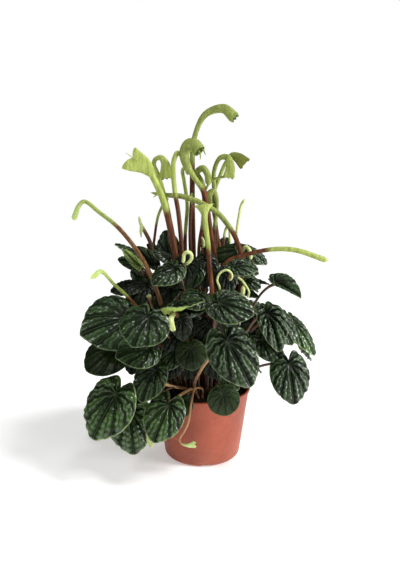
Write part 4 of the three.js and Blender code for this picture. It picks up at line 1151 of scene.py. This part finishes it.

# The small growth ------------------------------------------------------------------------------------------
# Young leaves and spikes that sit between the large ones: half-sized blades on short stalks, curled pale
# tips, and the dark inner leaves that fill the clump, most painted in the shaded green as the shade inside
# it.
# They grew from the crown in the same way.
YOUNG_LEAVES = [
    ("dark_left", (-13, -28, 184), (-25, -34, 163), (-0.1, -0.85, 0.4), 23, dict(green="shaded")),
    ("dark_centre", (3, -20, 185), (2, -30, 163), (0.05, -0.85, 0.45), 22, dict(green="shaded")),
    ("dark_right", (21, -32, 176), (17, -38, 158), (0.1, -0.85, 0.4), 20, dict(green="shaded")),
    ("dark_low_left", (-21, -40, 128), (-31, -46, 112), (-0.1, -0.9, 0.3), 22, dict(green="shaded")),
    ("dark_low_right", (6, -36, 132), (4, -42, 112), (0.05, -0.9, 0.3), 22, dict(green="shaded")),
    ("dark_behind", (-10, -34, 138), (-16, -38, 120), (0, -0.9, 0.3), 22, dict(green="shaded")),
    ("left_behind", (-56, -32, 110), (-61, -44, 90), (-0.3, -0.85, 0.3), 26, dict(green="shaded")),
    ("dark_base_left", (-25, -33, 100), (-30, -37, 84), (-0.1, -0.9, 0.35), 20, dict(green="shaded")),
    ("dark_base_middle", (-11, -28, 100), (-13, -31, 82), (0, -0.9, 0.35), 20, dict(green="shaded")),
    ("dark_base_right", (9, -28, 100), (12, -32, 82), (0.1, -0.9, 0.35), 22, dict(green="shaded")),
    ("olive_wide", (34, 6, 191), (1, 2, 185), (0, -0.85, 0.5), 17,
     dict(ripple=0.5, point=0.5, green="dull")),
    ("low_behind", (-15.5, -48, 69.5), (-14, -52, 56), (0.1, -0.9, 0.3), 15,
     dict(ripple=0.4, green="dull")),
    ("pot_rim", (19, -44, 88), (31, -50, 79), (0.1, -0.6, 0.8), 15, {}),
    ("dark_under_fold", (-17, -61, 143), (-16, -64, 126), (0.05, -0.95, 0.3), 17, dict(green="shaded")),
    ("dark_gap_right", (44, -20, 129), (58, -28, 111), (0.2, -0.8, 0.4), 26, dict(green="shaded")),
    ("under_right", (51, -36, 119), (69, -44, 102), (0.2, -0.8, 0.5), 24, {}),
    ("top_small", (18, 30, 193), (26, 30, 201), (0.2, -0.8, 0.4), 11, {}),
    ("small_right", (33, -20, 179), (49, -24, 174), (0.2, -0.6, 0.8), 17, {}),
    ("small_right_low", (38, -20, 169), (51, -24, 162), (0.3, -0.7, 0.6), 15, {}),
    ("left_high", (-43, 12, 191), (-51, 8, 197), (-0.3, -0.6, 0.7), 12, {}),
    ("left_crest", (-31, -4, 186), (-46, -12, 192), (-0.3, -0.6, 0.7), 15, {}),
    ("left_outer", (-60, 0, 180), (-76, -6, 185), (-0.2, -0.7, 0.6), 14, {}),
    ("left_inner", (-45, -2, 182), (-59, -8, 197), (-0.5, -0.6, 0.5), 14, {}),
    ("left_dark", (-50, -14, 162), (-67, -20, 146), (-0.2, -0.8, 0.5), 23, dict(green="shaded")),
    ("left_mid", (-50, 4, 161), (-65, 0, 175), (-0.5, -0.7, 0.4), 16, {}),
    ("inner_left", (-23, -44, 112), (-33, -52, 97), (-0.1, -0.85, 0.4), 20, {}),
    ("centre_high", (-5, -24, 178), (-17, -32, 162), (-0.1, -0.8, 0.5), 19, {}),
    ("olive_folded", (-56, -20, 182), (-68.5, -24, 196), (0.1, -0.95, 0.2), 7.5,
     dict(fold=0.3, green="olive")),
]
YOUNG_SPIKES = [
    ("thin_arc", (1, 9), 1.2, 1.0, 1.0, [(1, 12, 150), (0, 12, 215), (3, 9, 246), (9, 6, 255), (14, 4, 257),
     (19, 2, 258), (22, 1, 261)], {}),
    ("right_drop", (13, 3), 1.3, 1.3, 1.2, [(17, 10, 150), (20, 9, 203), (22, 8, 212), (24, 5, 214),
     (25, 2, 208), (25, 0, 199)], {}),
    ("pale_curl", (-7, -15), 1.1, 1.5, 2.6, [(-12, -26, 130), (-15, -32, 170), (-16, -40, 184),
     (-12, -43, 187), (-9, -44, 191), (-9.5, -45, 195), (-12.5, -46, 196.5), (-15, -45, 194.5),
     (-15.5, -45, 191), (-16, -45, 187)], {}),
    ("loop", (7, -16), 0.9, 0.8, 0.9, [(11, -40, 130), (14, -52, 168), (12, -54, 174), (14, -55, 180),
     (19, -56, 183), (23, -56, 181), (24, -56, 177), (22, -54, 174)], {}),
    ("right_arc", (17, -6), 1.0, 0.9, 0.9, [(24, -20, 140), (28, -30, 173), (33, -31, 171), (37, -31, 166),
     (40, -31, 160), (39, -31, 155)], {}),
    ("right_bud", (18, -2), 1.0, 2.0, 0.8, [(30, -18, 140), (34, -26, 155), (35, -30, 160), (35, -30, 166)],
     {}),
    ("flared_drop", (-9, -15), 0.8, 2.4, 3.6, [(-14, -36, 104), (-17, -50, 130), (-20, -60, 145),
     (-22.5, -68, 149.5), (-25, -74, 146.5), (-26, -76, 139)],
     dict(fan=dict(width=5, start=0.92, lobes=2, reach=1.5, cup=2))),
    ("left_bract", (-16, -8), 1.0, 1.3, 2.0, [(-34, -24, 125), (-43, -34, 150), (-45.5, -37, 158)],
     dict(fan=dict(width=2.2, start=0.94, lobes=1, reach=1.5))),
    ("inner_drop", (1, 5), 1.1, 1.5, 0.9, [(0, 8, 150), (-3, 8, 190), (-1, 8, 203), (1, 7, 200),
     (1, 6, 194)], {}),
    ("low_bract", (-14, -20), 0.9, 1.2, 2.0, [(-34, -50, 76), (-42, -64, 60), (-45, -69, 50),
     (-44, -72, 44), (-41, -73, 42)],
     dict(fan=dict(width=3, start=0.92, lobes=2, reach=2, curl=0.25))),
    ("right_hooklet", (20, 0), 1.0, 1.7, 1.0, [(36, -4, 150), (35, -8, 186), (36, -11, 195), (39, -13, 197),
     (42, -15, 193), (42.5, -15.5, 186)], {}),
    ("inner_red", (-5, -3), 1.7, 1.5, 2.3, [(-8, 0, 150), (-11, 2, 205), (-10, 4, 232), (-9, 6, 244)], {}),
    ("inner_brown", (-1, -1), 1.5, 1.4, 1.9, [(-2, 2, 150), (-3, 4, 195), (0, 6, 216), (1, 8, 228)], {}),
]
YOUNG_GRID = (99, 20)
YOUNG_PETIOLE_RADIUS = 0.85
YOUNG_SEED = 100
YOUNG_SAMPLE = 23
YOUNG_SPIKE_SIDES = 16
FILLERS = 60
FILLER_TRIES = 1500
FILLER_GRID = (77, 16)
PROBE_GRID = (15, 4)
FILLER_SEED = 199
FILLER_LEAN = (0.35, 0.9)
FILLER_DROOP = (0.1, 0.9)
FILLER_TWIST = (-0.5, 0.5)
FILLER_START = 21
FILLER_HEIGHT = (84, 172)
FILLER_SIZE = (20, 34)
FILLER_WIDTH = 0.92
FILLER_PETIOLE_RADIUS = 1.0
LEAF_GAP = 1.6
NEARBY = 12
LOW, LOW_REACH = 118, 34
BACK_REACH, BACK_RIGHT_REACH = 66, 54
FRONT_REACH, RIGHT_REACH = 48, 40
REACH_FALL = 0.0035

for number, (name, at, tip, face, width, extra) in enumerate(YOUNG_LEAVES):
    blade, line = grow_leaf("young_leaf_" + name, at, tip, face, width, YOUNG_PETIOLE_RADIUS, grid=YOUNG_GRID,
                            seed=YOUNG_SEED + number, **extra)
    occupied += [blade[::YOUNG_SAMPLE], line[LINE_SAMPLE::LINE_SAMPLE]]

for name, *growth in YOUNG_SPIKES:
    grow_spike("young_flower_" + name, FINISH_OF.get(name, pale_lime), [], *growth, sides=YOUNG_SPIKE_SIDES)


def clump_reach(azimuth, height):
    """How far out an inner leaf may start: most at the back, less at the right, least in front and low."""
    right = np.cos(azimuth) > 0.3
    if np.sin(azimuth) > 0.5:
        reach = BACK_RIGHT_REACH if right else BACK_REACH
    elif height < LOW:
        reach = LOW_REACH
    else:
        reach = RIGHT_REACH if right else FRONT_REACH
    return reach - REACH_FALL * (height - LOW) ** 2


# An inner leaf goes wherever a try at random keeps LEAF_GAP from all that is there already.
taken = np.concatenate(occupied)
chance = np.random.default_rng(5)
placed = 0
for _ in range(FILLER_TRIES):
    azimuth, lean, droop = chance.uniform(0, tau), chance.uniform(*FILLER_LEAN), chance.uniform(*FILLER_DROOP)
    height = chance.uniform(*FILLER_HEIGHT)
    distance = chance.uniform(FILLER_START, clump_reach(azimuth, height))
    size = chance.uniform(*FILLER_SIZE)
    width = FILLER_WIDTH * size
    twist = chance.uniform(*FILLER_TWIST)
    outward = np.array((np.cos(azimuth), np.sin(azimuth), 0))
    heading = np.array((np.cos(azimuth + twist), np.sin(azimuth + twist), 0))
    at = distance * outward + (0, 0, height)
    tip = at + size * unit(heading - (0, 0, droop))
    face = lean * outward + (0, 0, 1 - 0.5 * lean)
    probe = blade_shell(at, tip, face, width, grid=PROBE_GRID)[0]
    near = taken[np.linalg.norm(taken - at, axis=1) < size + NEARBY]
    if len(near) and np.linalg.norm(near[:, None] - probe[None], axis=2).min() < LEAF_GAP:
        continue
    placed += 1
    # Each inner leaf is painted in the shaded green, as the shade inside the clump.
    blade, _ = grow_leaf(f"inner_leaf_{placed:02d}", at, tip, face, width, FILLER_PETIOLE_RADIUS,
                         green="shaded", grid=FILLER_GRID, seed=FILLER_SEED + placed)
    taken = np.concatenate((taken, blade[::YOUNG_SAMPLE]))
    if placed == FILLERS:
        break

# The floor, the light and the camera -----------------------------------------------------------------------
# A plain pale studio table in a white surround: small softboxes at the front left and overhead, a larger one
# low at the right, and a broad sun from the right front. The camera stands half a metre away, ten degrees
# above the level.
FLOOR_SIZE = 6.0
EYE = (-0.002, -0.5, 0.249)
LOOK_DOWN = 10.0
FOCAL_PIXELS = 556.0
FRAME_PIXELS = 570.0
SENSOR = 36.0
SUN_WAY = (-0.75, 0.3, -1.0)
SUN_POWER = 2.2
SUN_ANGLE = radians(16)
DIM_SURROUND = 0.19
GLOSSY_SURROUND = 0.04
CAMERA_SURROUND = 1.0

floor_corners = [(-FLOOR_SIZE, -FLOOR_SIZE, 0), (FLOOR_SIZE, -FLOOR_SIZE, 0), (FLOOR_SIZE, FLOOR_SIZE, 0),
                 (-FLOOR_SIZE, FLOOR_SIZE, 0)]
floor_mesh = bpy.data.meshes.new("studio_floor")
floor_mesh.from_pydata(floor_corners, [], [(0, 1, 2, 3)])
floor = bpy.data.objects.new("studio_floor", floor_mesh)
bpy.context.scene.collection.objects.link(floor)
floor_finish, floor_tree, floor_shader, _ = new_finish("pale_floor")
dress(floor_tree, floor_shader, {
    "Base Color": (0.92, 0.92, 0.92, 1),
    "Roughness": 0.6,
    "Specular IOR Level": 0.1,
    "Emission Color": (1, 1, 1, 1),
    "Emission Strength": 0.38,
})
floor_mesh.materials.append(floor_finish)


def add_softbox(name, place, target, size, power):
    """A square area lamp at a place, aimed at a target."""
    lamp = bpy.data.lights.new(name, "AREA")
    lamp.size = size
    lamp.energy = power
    box = bpy.data.objects.new(name, lamp)
    box.location = place
    box.rotation_euler = (Vector(target) - Vector(place)).to_track_quat("-Z", "Y").to_euler()
    bpy.context.scene.collection.objects.link(box)


MIDDLE = (0, 0, 0.15)
POT_FOOT = (0, 0, 0.05)
add_softbox("softbox_front_left", (-0.65, -0.75, 0.95), MIDDLE, 0.16, 2.2)
add_softbox("softbox_right", (0.95, -0.35, 0.3), POT_FOOT, 0.35, 7)
add_softbox("softbox_top", (0.1, -0.15, 1.3), MIDDLE, 0.18, 2.5)
sun = bpy.data.lights.new("soft_window", "SUN")
sun.energy = SUN_POWER
sun.angle = SUN_ANGLE
window = bpy.data.objects.new("soft_window", sun)
window.rotation_euler = Vector(SUN_WAY).to_track_quat("-Z", "Y").to_euler()
bpy.context.scene.collection.objects.link(window)

# The surround is white to the camera, dim to mirror rays so that the leaves keep their depth, and in between
# as light.
world = bpy.data.worlds.new("white_surround")
bpy.context.scene.world = world
world.use_nodes = True
sky = world.node_tree
sky.nodes.clear()
rays = sky.nodes.new("ShaderNodeLightPath")
surround = DIM_SURROUND
for ray, strength in (("Is Glossy Ray", GLOSSY_SURROUND), ("Is Camera Ray", CAMERA_SURROUND)):
    step = sky.nodes.new("ShaderNodeMix")
    sky.links.new(rays.outputs[ray], step.inputs[0])
    feed(sky, step.inputs[2], surround)
    step.inputs[3].default_value = strength
    surround = step.outputs[0]
background = sky.nodes.new("ShaderNodeBackground")
background.inputs["Color"].default_value = (1, 1, 1, 1)
sky.links.new(surround, background.inputs["Strength"])
surface = sky.nodes.new("ShaderNodeOutputWorld")
sky.links.new(background.outputs[0], surface.inputs["Surface"])

camera_data = bpy.data.cameras.new("camera")
camera_data.sensor_width = SENSOR
camera_data.lens = FOCAL_PIXELS * SENSOR / FRAME_PIXELS
camera = bpy.data.objects.new("camera", camera_data)
camera.location = EYE
camera.rotation_euler = (radians(90 - LOOK_DOWN), 0, 0)
bpy.context.scene.collection.objects.link(camera)
bpy.context.scene.camera = camera
bpy.context.scene.view_settings.view_transform = "Standard"
